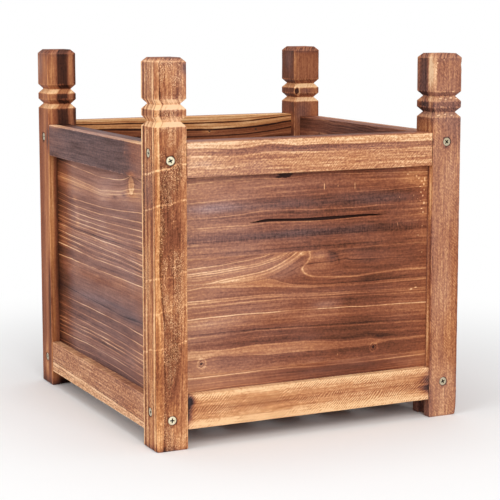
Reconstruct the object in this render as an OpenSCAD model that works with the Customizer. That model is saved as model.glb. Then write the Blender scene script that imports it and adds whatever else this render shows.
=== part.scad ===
// Square wooden planter: four posts, panelled walls held in grooves, and a slatted floor.
// The origin is on the ground under the middle of the planter, with the front facing -Y.

/* [Overall] */
// Width of the front, over the posts
planter_w = 360; // [300:5:480]
// Depth from front to back, over the posts
planter_d = 360; // [300:5:480]
// Gap between the ground and the front and back walls
wall_lift = 20.5; // [10:0.5:60]
// Height of each wall
wall_h = 295; // [285:5:360]
// How far the posts stand above the front and back rims
post_rise = 84.5; // [80:0.5:140]
// How much lower the two side walls sit than the front and back walls
side_drop = 3; // [0:0.5:6]

/* [Posts] */
// Side of a square post
post_w = 35; // [34:1:45]
// Slope cut around the top of a post
top_chamfer = 4.5; // [2:0.5:8]
// Small slope cut around the foot of a post
foot_chamfer = 1.2; // [0.4:0.1:3]
// Easing of the long corners of a post
post_ease = 0.8; // [0.3:0.1:2]
// Plain block above the upper V cut
head_h = 41; // [25:1:45]
// Height of a V cut
v_h = 10.6; // [6:0.2:11]
// Depth of a V cut
v_depth = 4.8; // [3:0.1:6]
// Plain ring between the two V cuts
ring_h = 6.7; // [4:0.1:9]

/* [Panel grooves] */
// Depth of the groove that holds the end of a wall board
groove_depth = 6.3; // [4:0.1:8]
// Play between a wall board and each side of its groove
groove_fit = 0.25; // [0.1:0.05:0.4]
// Play between the end of a wall board and the bottom of its groove
end_fit = 0.5; // [0.2:0.1:1]

/* [Rails] */
// Height of a rail
rail_h = 36; // [28:1:50]
// Thickness of a rail
rail_t = 10; // [8:0.5:11.5]
// How far a rail sits back from the outer faces of the posts
rail_recess = 0.6; // [0:0.1:2]
// Play between the end of a rail and a post
rail_fit = 0.4; // [0.2:0.1:0.8]
// Easing of the long corners of a rail
rail_ease = 1; // [0.3:0.1:2]

/* [Wall boards] */
// Thickness of a wall board
panel_t = 15.5; // [12:0.5:17]
// Width of the upper and the middle board of a wall
board_w = 121; // [100:1:122]
// Easing of the long corners of a wall board
board_ease = 0.4; // [0.2:0.1:1]

/* [Floor] */
// Side of a square floor bearer
bearer_w = 20; // [16:1:26]
// Height of a bearer above the lower edge of its wall
bearer_lift = 2; // [0:0.5:8]
// Thickness of a floor slat
slat_t = 10; // [8:0.5:15]
// Drain gap between two floor slats
drain_gap = 8; // [5:0.5:12]
// Play around the floor slats and at the ends of the bearers
floor_fit = 1; // [0.5:0.1:2]
// Easing of the long corners of a bearer or a slat
floor_ease = 0.8; // [0.3:0.1:2]

/* [Post screws] */
// Shank of a post screw
screw_d = 4.5; // [4:0.1:5]
// Head of a post screw
screw_head_d = 9; // [8:0.1:10]
// Length of a post screw
screw_len = 60; // [50:1:68]
// Depth of a screw head below the face of the post
head_sink = 0.4; // [0.2:0.1:1]
// Play around a screw in its bore
screw_fit = 0.15; // [0.1:0.05:0.3]
// Upper screws below the rim
screw_drop = 18; // [12:0.5:24]
// Lower screws above the lower edge of the wall
screw_rise = 11.5; // [8:0.5:20]
// How much higher the screws sit at the left end of a wall than at its right end
screw_stagger = 7.2; // [6:0.2:10]

/* [Small fasteners] */
// Shank of a bearer screw
bearer_screw_d = 3.5; // [3:0.1:4]
// Head of a bearer screw
bearer_screw_head_d = 7; // [6:0.1:8]
// Length of a bearer screw
bearer_screw_len = 30; // [26:1:34]
// Shank of a brad
brad_d = 1.6; // [1.2:0.1:2]
// Head of a brad
brad_head_d = 2.8; // [2.4:0.1:3.4]
// Length of a brad
brad_len = 22; // [18:0.5:24]
// Shank of a floor nail
nail_d = 2; // [1.6:0.1:2.6]
// Head of a floor nail
nail_head_d = 5; // [4:0.1:6]
// Length of a floor nail
nail_len = 26; // [20:0.5:28]
// Thickness of a brad's or a nail's head
nail_head_t = 0.8; // [0.5:0.1:1.2]
// Play around a brad or a nail in its bore
nail_fit = 0.1; // [0.05:0.05:0.2]

/* [Hidden] */
$fn = 32;

// The four walls, counted round from the front. Each wall's name also stands for the post at its left end
// as seen from outside, so "front" is the front left post and "right" is the front right one.
SIDES = ["front", "right", "back", "left"];
LEVELS = ["upper", "middle", "lower"];

// Overshoot of a cut past the face that it starts from
cut = 1;
rim_z = wall_lift + wall_h;
post_h = rim_z + post_rise;
panel_in = rail_recess + rail_t;
inner_in = panel_in + panel_t;
groove_in = panel_in - groove_fit;
groove_w = panel_t + 2 * groove_fit;
slat_count = 5;
slat_run = planter_w - 2 * (post_w + floor_fit);
slat_w = (slat_run - (slat_count - 1) * drain_gap) / slat_count;
slat_len = planter_d - 2 * (inner_in + floor_fit);
bearer_z = wall_lift + bearer_lift;
slat_z = bearer_z + bearer_w;
// Rim of full width above the cone of a screw head
head_rim = 0.3;
// Length of the point of a screw, a brad or a nail, in shank widths
point_share = 1.5;
// Slot of a screw's cross recess, and the recess's reach as a share of the head
slot_w = 1;
recess_share = 0.56;
// Depth of the recess, in slot widths
recess_deep = 1.6;
// Places of the brads and the bearer screws along a rail, as shares of its length
brad_places = [-0.33, -0.11, 0.11, 0.33];
bearer_screw_places = [-0.35, 0, 0.35];
// Places of a slat's two nails across it, as shares of its width
nail_places = [-0.26, 0.26];

function place_of(side) = search([side], SIDES)[0];
function before(side) = SIDES[(place_of(side) + 3) % 4];
function is_side(side) = side == "left" || side == "right";
function wall_span(side) = is_side(side) ? planter_d : planter_w;
function wall_half(side) = (is_side(side) ? planter_w : planter_d) / 2;
function wall_drop(side) = is_side(side) ? side_drop : 0;
function rail_len(side) = wall_span(side) - 2 * (post_w + rail_fit);
function board_len(side) = wall_span(side) - 2 * (post_w - groove_depth + end_fit);
function board_top(level) = rim_z - search([level], LEVELS)[0] * board_w;
function board_h(level) = level == "lower" ? wall_h - 2 * board_w : board_w;
function slat_x(i) = -slat_run / 2 + slat_w / 2 + (i - 1) * (slat_w + drain_gap);
function eased(w, h, e) = [
    [e, 0], [w - e, 0], [w, e], [w, h - e], [w - e, h], [e, h], [0, h - e], [0, e]
];

// A length of timber along X, centred, with its outer lower corner on the X axis
module timber(len, t, h, ease) {
    translate([-len / 2, 0, 0])
        rotate([90, 0, 90])
            linear_extrude(len)
                polygon(eased(t, h, ease));
}

// Puts a wall's own frame in place: X along the wall, Y inwards from the posts' outer faces
module on_wall(side) {
    rotate([0, 0, 90 * place_of(side)])
        translate([0, -wall_half(side), 0])
            children();
}

// Puts a post's own frame in place: its middle on Z, with its grooves on +X and +Y
module at_corner(corner) {
    sx = corner == "front" || corner == "left" ? -1 : 1;
    sy = corner == "front" || corner == "right" ? -1 : 1;
    translate([sx * (planter_w - post_w) / 2, sy * (planter_d - post_w) / 2, 0])
        rotate([0, 0, 90 * place_of(corner)])
            children();
}

// A screw, brad or nail of revolution that points down, with the top of its head at z = 0
module fastener(head_d, shank_d, len, rim, cone) {
    rotate_extrude()
        polygon([
            [0, 0], [head_d / 2, 0], [head_d / 2, -rim], [shank_d / 2, -rim - cone],
            [shank_d / 2, -len + point_share * shank_d], [0, -len]
        ]);
}

// The bore for such a fastener, open upwards, with play all round
module fastener_bore(head_d, shank_d, len, rim, cone, fit) {
    rotate_extrude()
        polygon([
            [0, head_sink + cut], [head_d / 2 + fit, head_sink + cut], [head_d / 2 + fit, -rim],
            [shank_d / 2 + fit, -rim - cone], [shank_d / 2 + fit, -len - fit], [0, -len - fit]
        ]);
}

module cross_recess(head_d) {
    reach = recess_share * head_d;
    deep = recess_deep * slot_w;
    for (turn = [0, 90])
        rotate([0, 0, turn])
            translate([-reach / 2, -slot_w / 2, -deep])
                cube([reach, slot_w, deep + cut]);
}

module wood_screw(head_d, shank_d, len) {
    color("#c9bf94")
        difference() {
            fastener(head_d, shank_d, len, head_rim, (head_d - shank_d) / 2);
            cross_recess(head_d);
        }
}

module wood_screw_bore(head_d, shank_d, len) {
    fastener_bore(head_d, shank_d, len, head_rim, (head_d - shank_d) / 2, screw_fit);
}

module post_screw() {
    wood_screw(screw_head_d, screw_d, screw_len);
}

module post_screw_bore() {
    wood_screw_bore(screw_head_d, screw_d, screw_len);
}

// The two places where screws enter one end of a wall; end is -1 for its left end and 1 for its right
module at_end_screws(side, end) {
    lift = end < 0 ? screw_stagger : 0;
    for (z = [rim_z - screw_drop + lift, wall_lift + screw_rise + lift])
        translate([end * (wall_span(side) / 2 - head_sink), post_w / 2, z])
            rotate([0, 90 * end, 0])
                children();
}

// The places of the brads in one wall, heads inwards
module at_brads(side) {
    for (share = brad_places, z = [rim_z - rail_h / 2, wall_lift + rail_h / 2])
        translate([share * rail_len(side), inner_in, z - wall_drop(side)])
            rotate([-90, 0, 0])
                children();
}

// The places of the screws in one bearer, heads inwards
module at_bearer_screws() {
    for (share = bearer_screw_places)
        translate([share * slat_run, inner_in + bearer_w - head_sink, bearer_z + bearer_w / 2])
            rotate([-90, 0, 0])
                children();
}

// The places of the two nails at the front end of one slat
module at_slat_nails(i) {
    for (share = nail_places)
        translate([slat_x(i) + share * slat_w, inner_in + bearer_w / 2, slat_z + slat_t])
            children();
}

module brad() {
    fastener(brad_head_d, brad_d, brad_len, nail_head_t, 0);
}

module brad_bore() {
    fastener_bore(brad_head_d, brad_d, brad_len, nail_head_t, 0, nail_fit);
}

module floor_nail() {
    fastener(nail_head_d, nail_d, nail_len, nail_head_t, 0);
}

module floor_nail_bore() {
    fastener_bore(nail_head_d, nail_d, nail_len, nail_head_t, 0, nail_fit);
}

module bearer_screw() {
    wood_screw(bearer_screw_head_d, bearer_screw_d, bearer_screw_len);
}

module bearer_screw_bore() {
    wood_screw_bore(bearer_screw_head_d, bearer_screw_d, bearer_screw_len);
}

// Cuts the outline in points round all four faces of a post, at the height z
module cut_round(z, points) {
    for (turn = [0:90:270])
        rotate([0, 0, turn])
            translate([-post_w, -post_w / 2, z])
                rotate([90, 0, 90])
                    linear_extrude(2 * post_w)
                        polygon(points);
}

module v_cut(z) {
    mouth = v_h / 2 * (1 + cut / v_depth);
    cut_round(z, [[-cut, mouth], [-cut, -mouth], [v_depth, 0]]);
}

module panel_groove(top) {
    translate([post_w / 2 - groove_depth, groove_in - post_w / 2, -cut])
        cube([groove_depth + cut, groove_w, top + groove_fit + cut]);
}

// The post at the left end of the wall that corner names, which also holds the right end of the wall before it
module post(corner) {
    upper_v = post_h - head_h - v_h / 2;
    color("#a5683f")
        difference() {
            at_corner(corner)
                difference() {
                    translate([-post_w / 2, -post_w / 2, 0])
                        linear_extrude(post_h)
                            polygon(eased(post_w, post_w, post_ease));
                    v_cut(upper_v);
                    v_cut(upper_v - v_h - ring_h);
                    cut_round(post_h, [
                        [-cut, cut], [-cut, -top_chamfer - cut], [top_chamfer + cut, cut]
                    ]);
                    cut_round(0, [
                        [-cut, -cut], [foot_chamfer + cut, -cut], [-cut, foot_chamfer + cut]
                    ]);
                    panel_groove(rim_z - wall_drop(corner));
                    mirror([1, -1, 0])
                        panel_groove(rim_z - wall_drop(before(corner)));
                }
            on_wall(corner)
                at_end_screws(corner, -1)
                    post_screw_bore();
            on_wall(before(corner))
                at_end_screws(before(corner), 1)
                    post_screw_bore();
        }
}

module post_screws(corner) {
    on_wall(corner)
        at_end_screws(corner, -1)
            post_screw();
    on_wall(before(corner))
        at_end_screws(before(corner), 1)
            post_screw();
}

module rail(side, z, shade) {
    color(shade)
        on_wall(side)
            difference() {
                translate([0, rail_recess, z - wall_drop(side)])
                    timber(rail_len(side), rail_t, rail_h, rail_ease);
                at_brads(side)
                    brad_bore();
            }
}

module rail_top(side) {
    rail(side, rim_z - rail_h, side == "left" ? "#6f5a55" : "#c08a5e");
}

module rail_low(side) {
    rail(side, wall_lift, "#c28f5f");
}

module board(side, level) {
    color(is_side(side) ? "#7c5a4a" : "#8f5f49")
        on_wall(side)
            difference() {
                translate([0, panel_in, board_top(level) - board_h(level) - wall_drop(side)])
                    timber(board_len(side), panel_t, board_h(level), board_ease);
                if (level != "middle") {
                    at_brads(side)
                        brad_bore();
                    for (end = [-1, 1])
                        at_end_screws(side, end)
                            post_screw_bore();
                }
                if (level == "lower" && !is_side(side))
                    at_bearer_screws()
                        bearer_screw_bore();
            }
}

module brads(side) {
    color("#8d8d8d")
        on_wall(side)
            at_brads(side)
                brad();
}

module bearer(side) {
    color("#9c6b45")
        on_wall(side)
            difference() {
                translate([0, inner_in, bearer_z])
                    timber(slat_run, bearer_w, bearer_w, floor_ease);
                at_bearer_screws()
                    bearer_screw_bore();
                for (i = [1:slat_count])
                    at_slat_nails(i)
                        floor_nail_bore();
            }
}

module slat(i) {
    color("#a87850")
        difference() {
            translate([slat_x(i), 0, slat_z])
                rotate([0, 0, 90])
                    translate([0, -slat_w / 2, 0])
                        timber(slat_len, slat_w, slat_t, floor_ease);
            on_wall("front")
                at_slat_nails(i)
                    floor_nail_bore();
            on_wall("back")
                at_slat_nails(slat_count + 1 - i)
                    floor_nail_bore();
        }
}

module bearer_screws() {
    for (side = ["front", "back"])
        on_wall(side)
            at_bearer_screws()
                bearer_screw();
}

module slat_nails() {
    color("#8d8d8d")
        for (side = ["front", "back"], i = [1:slat_count])
            on_wall(side)
                at_slat_nails(i)
                    floor_nail();
}

post("front");  // post_front_left
post("right");  // post_front_right
post("back");  // post_back_right
post("left");  // post_back_left
rail_top("front");  // rail_top_front
rail_top("right");  // rail_top_right
rail_top("back");  // rail_top_back
rail_top("left");  // rail_top_left
rail_low("front");  // rail_low_front
rail_low("right");  // rail_low_right
rail_low("back");  // rail_low_back
rail_low("left");  // rail_low_left
board("front", "upper");  // board_upper_front
board("front", "middle");  // board_middle_front
board("front", "lower");  // board_lower_front
board("right", "upper");  // board_upper_right
board("right", "middle");  // board_middle_right
board("right", "lower");  // board_lower_right
board("back", "upper");  // board_upper_back
board("back", "middle");  // board_middle_back
board("back", "lower");  // board_lower_back
board("left", "upper");  // board_upper_left
board("left", "middle");  // board_middle_left
board("left", "lower");  // board_lower_left
bearer("front");  // bearer_front
bearer("back");  // bearer_back
slat(1);  // slat_1
slat(2);  // slat_2
slat(3);  // slat_3
slat(4);  // slat_4
slat(5);  // slat_5
post_screws("front");  // screws_front_left
post_screws("right");  // screws_front_right
post_screws("back");  // screws_back_right
post_screws("left");  // screws_back_left
brads("front");  // brads_front
brads("right");  // brads_right
brads("back");  // brads_back
brads("left");  // brads_left
bearer_screws();
slat_nails();
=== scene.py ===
import math
import random
from dataclasses import dataclass, field
from typing import Callable

import bmesh
import bpy
import numpy as np
from mathutils import Matrix, Vector


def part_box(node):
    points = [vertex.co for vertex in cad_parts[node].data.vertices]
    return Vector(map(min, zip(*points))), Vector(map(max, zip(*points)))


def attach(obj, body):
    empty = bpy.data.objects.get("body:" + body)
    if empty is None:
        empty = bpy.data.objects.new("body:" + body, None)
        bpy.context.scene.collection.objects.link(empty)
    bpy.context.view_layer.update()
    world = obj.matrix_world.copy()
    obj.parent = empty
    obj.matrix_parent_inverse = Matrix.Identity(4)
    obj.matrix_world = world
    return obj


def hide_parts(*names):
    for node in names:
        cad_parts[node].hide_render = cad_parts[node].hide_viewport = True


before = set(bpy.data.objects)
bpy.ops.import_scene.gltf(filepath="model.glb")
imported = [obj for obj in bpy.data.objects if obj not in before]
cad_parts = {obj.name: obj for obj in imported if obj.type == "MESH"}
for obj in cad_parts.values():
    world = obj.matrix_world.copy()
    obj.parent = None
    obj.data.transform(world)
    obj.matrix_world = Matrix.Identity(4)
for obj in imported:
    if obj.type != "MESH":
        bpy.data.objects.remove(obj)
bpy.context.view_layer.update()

MM = 0.001

# Camera: place, aim and farthest reach in metres, lens and sensor in millimetres
CAMERA_PLACE = (-0.7777, -1.6269, 0.4499)
CAMERA_AIM = (0.0155, 0.0060, 0.2053)
CAMERA_LENS = 114.05
CAMERA_SENSOR = 36.0
CAMERA_SHIFT_Y = -0.06
CAMERA_FAR = 100.0

# Light: world strength for the object, and soft lamps as (name, place, size in metres, watts)
AMBIENT = 0.50
LAMPS = [
    ("key", (-0.3, -2.6, 1.7), 1.8, 41.0),
    ("fill", (-2.5, -0.7, 1.3), 1.8, 26.0),
    ("top", (0.0, 0.2, 2.5), 1.6, 13.0),
]
LAMP_AIM = (0.0, 0.0, 0.2)

# Floor: its size in metres, its colour, and where it starts and ends to fade to white
FLOOR_SIZE = 40.0
FLOOR_COLOUR = (0.93, 0.93, 0.93, 1.0)
FLOOR_FADE = (0.22, 0.75)

# First number of the random seeds of each kind of piece
SEEDS = {"board": 40, "rail": 70, "bearer": 90, "slat": 100, "post_screws": 200, "bearer_screws": 210}

# Walls in quarter turns from the front; each wall's own axes are along, inwards and up
TURNS = {"front": 0, "right": 1, "back": 2, "left": 3}
LEVELS = ("upper", "middle", "lower")
CORNERS = ("front_left", "front_right", "back_right", "back_left")

# Lengths from here on are in millimetres
# Grids: where the lines near an edge stand, as parts of its radius, and the least gap between lines
EDGE_LINES = np.array([0, 0.22, 0.55, 1.0])
LINE_GAP = 0.08

# Edges of straight pieces: swing of the radius, its waves and its limits, as parts of the radius
EASE_SWING = 0.45
EASE_WAVE = 60
EASE_LEAST = 0.3
EASE_MOST = 1.8

# Hollow faces: depth, waves and distance from the edge where it starts; grid step up to that along
DIP = 0.10
DIP_WAVE = 90
DIP_EDGE = 6
STEP_UP = 0.75

# Slats: radius of the edges, its swing, waves and limits, and steps of the grid
SLAT_EASE = 0.8
SLAT_SWING = 0.4
SLAT_WAVE = 70
SLAT_EASE_LIMITS = (0.3, 1.2)
SLAT_STEPS = (5.0, 4.0, 4.0)

# Posts: the cuts near the top, as in the CAD model
TOP_CHAMFER = 4.5
FOOT_CHAMFER = 1.2
HEAD_H = 41.0
V_H = 10.6
V_DEPTH = 4.8
RING_H = 6.7

# Posts: radius of the arrises, its swing, waves and limits, hollow faces, and eased corners of the cuts
POST_EASE = 0.9
POST_SWING = 0.35
POST_EASE_WAVE = 45
POST_EASE_LIMITS = (0.3, 4.0)
POST_DIP = 0.12
POST_DIP_WAVE = 70
PROFILE_EASE = 0.5

# Posts: steps of the grid across and up, extra lines beside the arrises, least gap and free ends
POST_STEP = 2.6
POST_STEP_UP = 3.5
POST_LINES = (1.2, 2.4)
LEVEL_GAP = 0.15
END_MARGIN = 6

# Play around what a piece holds: sides and ends of the boards, screw heads and shanks
GROOVE_FIT = 0.25
END_FIT = 0.5
HEAD_SINK = 0.4
BORE_FIT = 0.15

# Screws: sides of a hole and of a screw, rims of the heads, the head's edge as (part of its radius,
# depth), and the tip as (radius, height)
BORE_SIDES = 24
SCREW_SIDES = 40
SCREW_RIM = 0.3
NAIL_RIM = 0.8
SCREW_HEAD = [(0, 0.0), (0.80, 0.02), (0.93, 0.08), (0.985, 0.18), (1.0, SCREW_RIM)]
SCREW_TIP = [(0.3, -0.2), (0, 0)]

# Cross recess, in parts of the head's width: reach of a wing at the top and at its foot, its width at
# the top and at its foot, and depth; and the height where it starts
SCREW_RECESS = (0.60, 0.26, 0.155, 0.10, 0.24)
RECESS_START = -0.2

# Metals as (new colour, worn colour, roughness), with noise in waves per metre; how dull the screws of
# a node are, how much more on the left and right faces, and by chance
ZINC = ("#fbf3d8", "#e6d9b0", 0.34)
STEEL = ("#6e4430", "#553a28", 0.6)
METALLIC = 0.6
METAL_PATCHES = 300.0
METAL_GRAIN = 1500.0
DULL_SCREWS = {"screws_front_left": 0.0, "screws_front_right": 0.5}
DULL_OTHERS = 0.1
DULL_SIDE = 0.45
DULL_SWING = 0.1
# Painted shade: the colour a screw darkens to with depth below the top of its head
RECESS_SHADE = "#1d1714"
DULL_COLOUR = "#8a7356"

# Palettes from burnt to bare wood, as (tone, colour): warm brown, cool grey brown, golden brown and
# a pale purple grey for a painted sheen of light on the varnish
WARM = [
    (0.00, "#321d18"), (0.14, "#4d2c20"), (0.28, "#683c2a"), (0.36, "#784431"), (0.46, "#8b5138"),
    (0.55, "#9d6143"), (0.66, "#b2744e"), (0.76, "#c68b60"), (0.86, "#daa274"), (1.00, "#f5cb9c"),
]
COOL = [
    (0.00, "#342626"), (0.14, "#4e3836"), (0.28, "#684d49"), (0.38, "#7d5850"), (0.46, "#8b6256"),
    (0.56, "#9e7161"), (0.66, "#b28068"), (0.76, "#c69473"), (0.86, "#d9a984"), (1.00, "#f5ceaa"),
]
GOLD = [
    (0.00, "#321a14"), (0.14, "#4b2919"), (0.28, "#66381f"), (0.36, "#764026"), (0.46, "#8a4e31"),
    (0.55, "#9c5d3b"), (0.66, "#b07044"), (0.76, "#c68554"), (0.86, "#da9c66"), (1.00, "#f5c690"),
]
SHEEN = [(0.0, "#3c3438"), (0.4, "#806a6c"), (0.6, "#a78a88"), (1.0, "#f0dcd2")]

# Noises of the wood, as (waves per millimetre along, across and in depth, seed offset, detail, roughness)
NOISES = {
    "streak": ((0.004, 0.25, 0.25), 0, 3.0, 0.7), "ring": ((0.0032, 0.34, 0.25), 3, 1.0, 0.4),
    "fibre": ((0.016, 0.5, 0.5), 5, 2.0, 0.65), "pore": ((0.07, 0.62, 0.62), 7, 2.0, 0.6),
    "patch": ((0.016, 0.05, 0.05), 9, 3.0, 0.5), "gap": ((0.014, 0.02, 0.02), 11, 2.0, 0.5),
    "fleck": ((0.75, 1.9, 1.9), 13, 2.0, 0.8), "cluster": ((0.03, 0.06, 0.06), 15, 3.0, 0.6),
    "hatch": ((0.05, 0.05, 0.05), 17, 2.0, 0.5), "mask": ((0.03, 0.12, 0.1), 19, 3.0, 0.5),
    "comb": ((0.75, 0.06, 0.0), 21, 2.0, 0.6), "chip": ((0.12, 0.5, 0.5), 23, 3.0, 0.5),
    "sway": ((0.02, 0.09, 0.09), 27, 3.0, 0.6), "grit": ((0.34, 0.42, 0.0), 29, 2.0, 0.7),
    "wobble": ((0.4, 0.4, 0.0), 31, 2.0, 0.5),
}

# Where a noise starts to show and where it shows fully
PEAKS = {
    "patch": (0.38, 0.55), "pore": (0.52, 0.66), "gap": (0.35, 0.55), "cluster": (0.40, 0.58),
    "fleck": (0.54, 0.60), "mask": (0.40, 0.60), "streak": (0.40, 0.56), "fibre": (0.3, 0.7),
}

# Ramps: how many stops and how many thin lines one holds; the opposite line beside a thin one: its
# strength, and where it ends in widths of the line
RAMP_STOPS = 31
RAMP_LINES = 7
LINE_ECHO = 0.2
LINE_END = 1.9

# Wood: strength of its patches of tone and of colour, wobble of knots, tone of worn edges and the
# part of their width that is fully worn, roughness from rough to smooth, and shine
PATCHES = 0.04
COOL_SWING = 0.18
EYE_WOBBLE = 0.12
BARE_TONE = 0.92
WEAR_CORE = 0.3
VARNISH = (0.68, 0.52)
SPECULAR = 0.08

# Saw marks in radians per millimetre; scrapes: slope, width and span
HATCH_WAVE = 1.9
SCRAPE_SLOPE = 0.18
SCRAPE_WIDTH = 0.9
SCRAPE_SPAN = 400.0

# Bumps as (distance in metres, strength)
GRAIN_BUMP = (0.0005, 0.55)
METAL_BUMP = (0.0001, 0.3)

# Painted shade on a board's inner face, and how deep that and the painted light and shade on its top reach
# and fade
INNER_SHADE = -0.08
FACE_SKIN = 1.2
FACE_FADE = 0.8


def srgb(text):
    """The linear colour of a hex colour."""
    parts = [int(text[i:i + 2], 16) / 255 for i in (1, 3, 5)]
    return [p / 12.92 if p < 0.04045 else ((p + 0.055) / 1.055) ** 2.4 for p in parts] + [1.0]


def turned(points, turns):
    """Points turned about the up axis by quarter turns."""
    out = np.array(points, float)
    for _ in range(turns % 4):
        out[..., 0], out[..., 1] = -out[..., 1].copy(), out[..., 0].copy()
    return out


def local_box(node, turns):
    """Lowest and highest corner of a CAD node in a wall's own axes, in millimetres."""
    corners = turned(np.array([list(c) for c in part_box(node)]) / MM, -turns)
    return corners.min(0), corners.max(0)


def smooth_step(x):
    """0 below 0, 1 above 1, and an easy rise between them."""
    x = np.clip(x, 0, 1)
    return x * x * (3 - 2 * x)


def wander(t, seed, reach):
    """A smooth random curve between -1 and 1 whose waves are about reach long."""
    rng = random.Random(seed)
    total = np.zeros_like(t, dtype=float)
    for octave in range(4):
        wave = reach * rng.uniform(0.8, 1.25) / 1.9 ** octave
        total += np.sin(2 * math.pi * (t / wave + rng.random())) / 1.7 ** octave
    return total / 2.2


# Meshes

def grid_lines(low, high, step, ease, extra=()):
    """Places of the grid lines of one direction: close at both edges and at the places in extra."""
    edge = ease * EDGE_LINES
    count = max(1, round((high - low - 2 * ease) / step))
    inner = np.linspace(low + ease, high - ease, count + 1)
    lines = sorted([*(low + edge), *inner, *(high - edge), *extra])
    kept = [lines[0]]
    for line in lines[1:]:
        if line - kept[-1] > LINE_GAP:
            kept.append(line)
    kept[-1] = high
    return np.array(kept)


def near(place, reach, count):
    """Extra grid lines around a place."""
    return list(place + reach * np.linspace(-1, 1, count))


def lattice(us, ds, vs):
    """Points and quads of a box's surface on the grid lines us, ds and vs."""
    shape = (len(us), len(ds), len(vs))
    i, j, k = np.meshgrid(*[np.arange(n) for n in shape], indexing="ij")
    skin = (i % (shape[0] - 1) == 0) | (j % (shape[1] - 1) == 0) | (k % (shape[2] - 1) == 0)
    number = np.full(shape, -1)
    number[skin] = np.arange(skin.sum())
    points = np.stack([us[i], ds[j], vs[k]], axis=-1)[skin]
    quads = []
    for sheet, flip in (
        (number[0], True), (number[-1], False), (number[:, 0], False),
        (number[:, -1], True), (number[:, :, 0], True), (number[:, :, -1], False),
    ):
        quad = np.stack([sheet[:-1, :-1], sheet[1:, :-1], sheet[1:, 1:], sheet[:-1, 1:]], -1)
        quad = quad.reshape(-1, 4)
        quads.append(quad[:, ::-1] if flip else quad)
    return points, np.concatenate(quads)


def rounded(points, low, high, ease):
    """Moves the points of a box onto its rounded edges; ease is the radius at each point."""
    ease = np.asarray(ease, float).reshape(-1, 1)
    core = np.clip(points, low + ease, high - ease)
    out = points - core
    length = np.linalg.norm(out, axis=1, keepdims=True)
    return np.where(length > 0, core + out * ease / np.maximum(length, 1e-9), points)


def new_piece(name, points, faces):
    """A mesh object from points in millimetres."""
    mesh = bpy.data.meshes.new(name)
    mesh.from_pydata((np.asarray(points) * MM).tolist(), [], [list(f) for f in faces])
    piece = bpy.data.objects.new(name, mesh)
    bpy.context.scene.collection.objects.link(piece)
    return piece


def mesh_points(piece):
    """The points of a piece in millimetres."""
    here = np.empty(len(piece.data.vertices) * 3)
    piece.data.vertices.foreach_get("co", here)
    return here.reshape(-1, 3) / MM


def lathe(profile, sides):
    """Points and faces of a closed solid of revolution along +Z, whose profile ends on the axis."""
    points = [(0, 0, profile[0][1])]
    for radius, z in profile[1:-1]:
        for s in range(sides):
            angle = 2 * math.pi * s / sides
            points.append((radius * math.cos(angle), radius * math.sin(angle), z))
    points.append((0, 0, profile[-1][1]))
    rings = len(profile) - 2
    faces = []
    for s in range(sides):
        t = (s + 1) % sides
        faces.append((0, 1 + t, 1 + s))
        for r in range(rings - 1):
            a, b = 1 + r * sides, 1 + (r + 1) * sides
            faces.append((a + s, a + t, b + t, b + s))
        last = 1 + (rings - 1) * sides
        faces.append((len(points) - 1, last + s, last + t))
    return np.array(points), faces


def joined(parts):
    """Points and faces of several solids as one."""
    points, faces, start = [], [], 0
    for some_points, some_faces in parts:
        points.append(np.asarray(some_points))
        faces += [[start + i for i in face] for face in some_faces]
        start += len(some_points)
    return np.concatenate(points), faces


def set_along(points, head, direction, spin=0.0):
    """Puts points that run along +Z from the origin at head, along direction."""
    turn = Vector((0, 0, 1)).rotation_difference(Vector(direction)).to_matrix()
    turn = np.array(turn @ Matrix.Rotation(spin, 3, "Z"))
    return points @ turn.T + np.asarray(head)


def cut(piece, points, faces):
    """Cuts a solid, given in millimetres, out of a piece."""
    cutter = new_piece("cutter", points, faces)
    modifier = piece.modifiers.new("cut", "BOOLEAN")
    modifier.operation = "DIFFERENCE"
    modifier.solver = "EXACT"
    modifier.object = cutter
    depsgraph = bpy.context.evaluated_depsgraph_get()
    done = bpy.data.meshes.new_from_object(piece.evaluated_get(depsgraph))
    piece.modifiers.clear()
    old = piece.data
    piece.data = done
    bpy.data.meshes.remove(old)
    bpy.data.objects.remove(cutter)


# Fasteners, measured on the CAD nodes

@dataclass
class Fastener:
    head: np.ndarray
    direction: np.ndarray
    length: float
    head_d: float
    shank_d: float


def solids(node):
    """The points of each separate solid of a CAD node, in millimetres."""
    shape = bmesh.new()
    shape.from_mesh(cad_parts[node].data)
    bmesh.ops.remove_doubles(shape, verts=shape.verts, dist=1e-6)
    waiting, found = set(shape.verts), []
    while waiting:
        group, edge = [], [waiting.pop()]
        while edge:
            vertex = edge.pop()
            group.append(list(vertex.co))
            for link in vertex.link_edges:
                other = link.other_vert(vertex)
                if other in waiting:
                    waiting.remove(other)
                    edge.append(other)
        found.append(np.array(group) / MM)
    shape.free()
    return sorted(found, key=lambda g: tuple(np.round(g.mean(0), 1)))


def measured(points):
    """The fastener that a solid's points describe."""
    low, high = points.min(0), points.max(0)
    axis = int(np.argmax(high - low))
    across = [a for a in range(3) if a != axis]
    middle = (low + high) / 2
    radius = np.linalg.norm(points[:, across] - middle[across], axis=1)
    low_end = radius[points[:, axis] < low[axis] + 0.5].max()
    high_end = radius[points[:, axis] > high[axis] - 0.5].max()
    direction = np.zeros(3)
    direction[axis] = 1.0 if low_end > high_end else -1.0
    head = middle.copy()
    head[axis] = low[axis] if low_end > high_end else high[axis]
    deep = (points - head) @ direction
    length = high[axis] - low[axis]
    shank = radius[(deep > 0.4 * length) & (deep < 0.97 * length)].max()
    return Fastener(head, direction, length, 2 * radius.max(), 2 * shank)


FASTENERS = {
    name: [measured(s) for s in solids(name)]
    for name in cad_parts
    if name.startswith(("screws_", "brads_")) or name in ("bearer_screws", "slat_nails")
}


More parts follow.
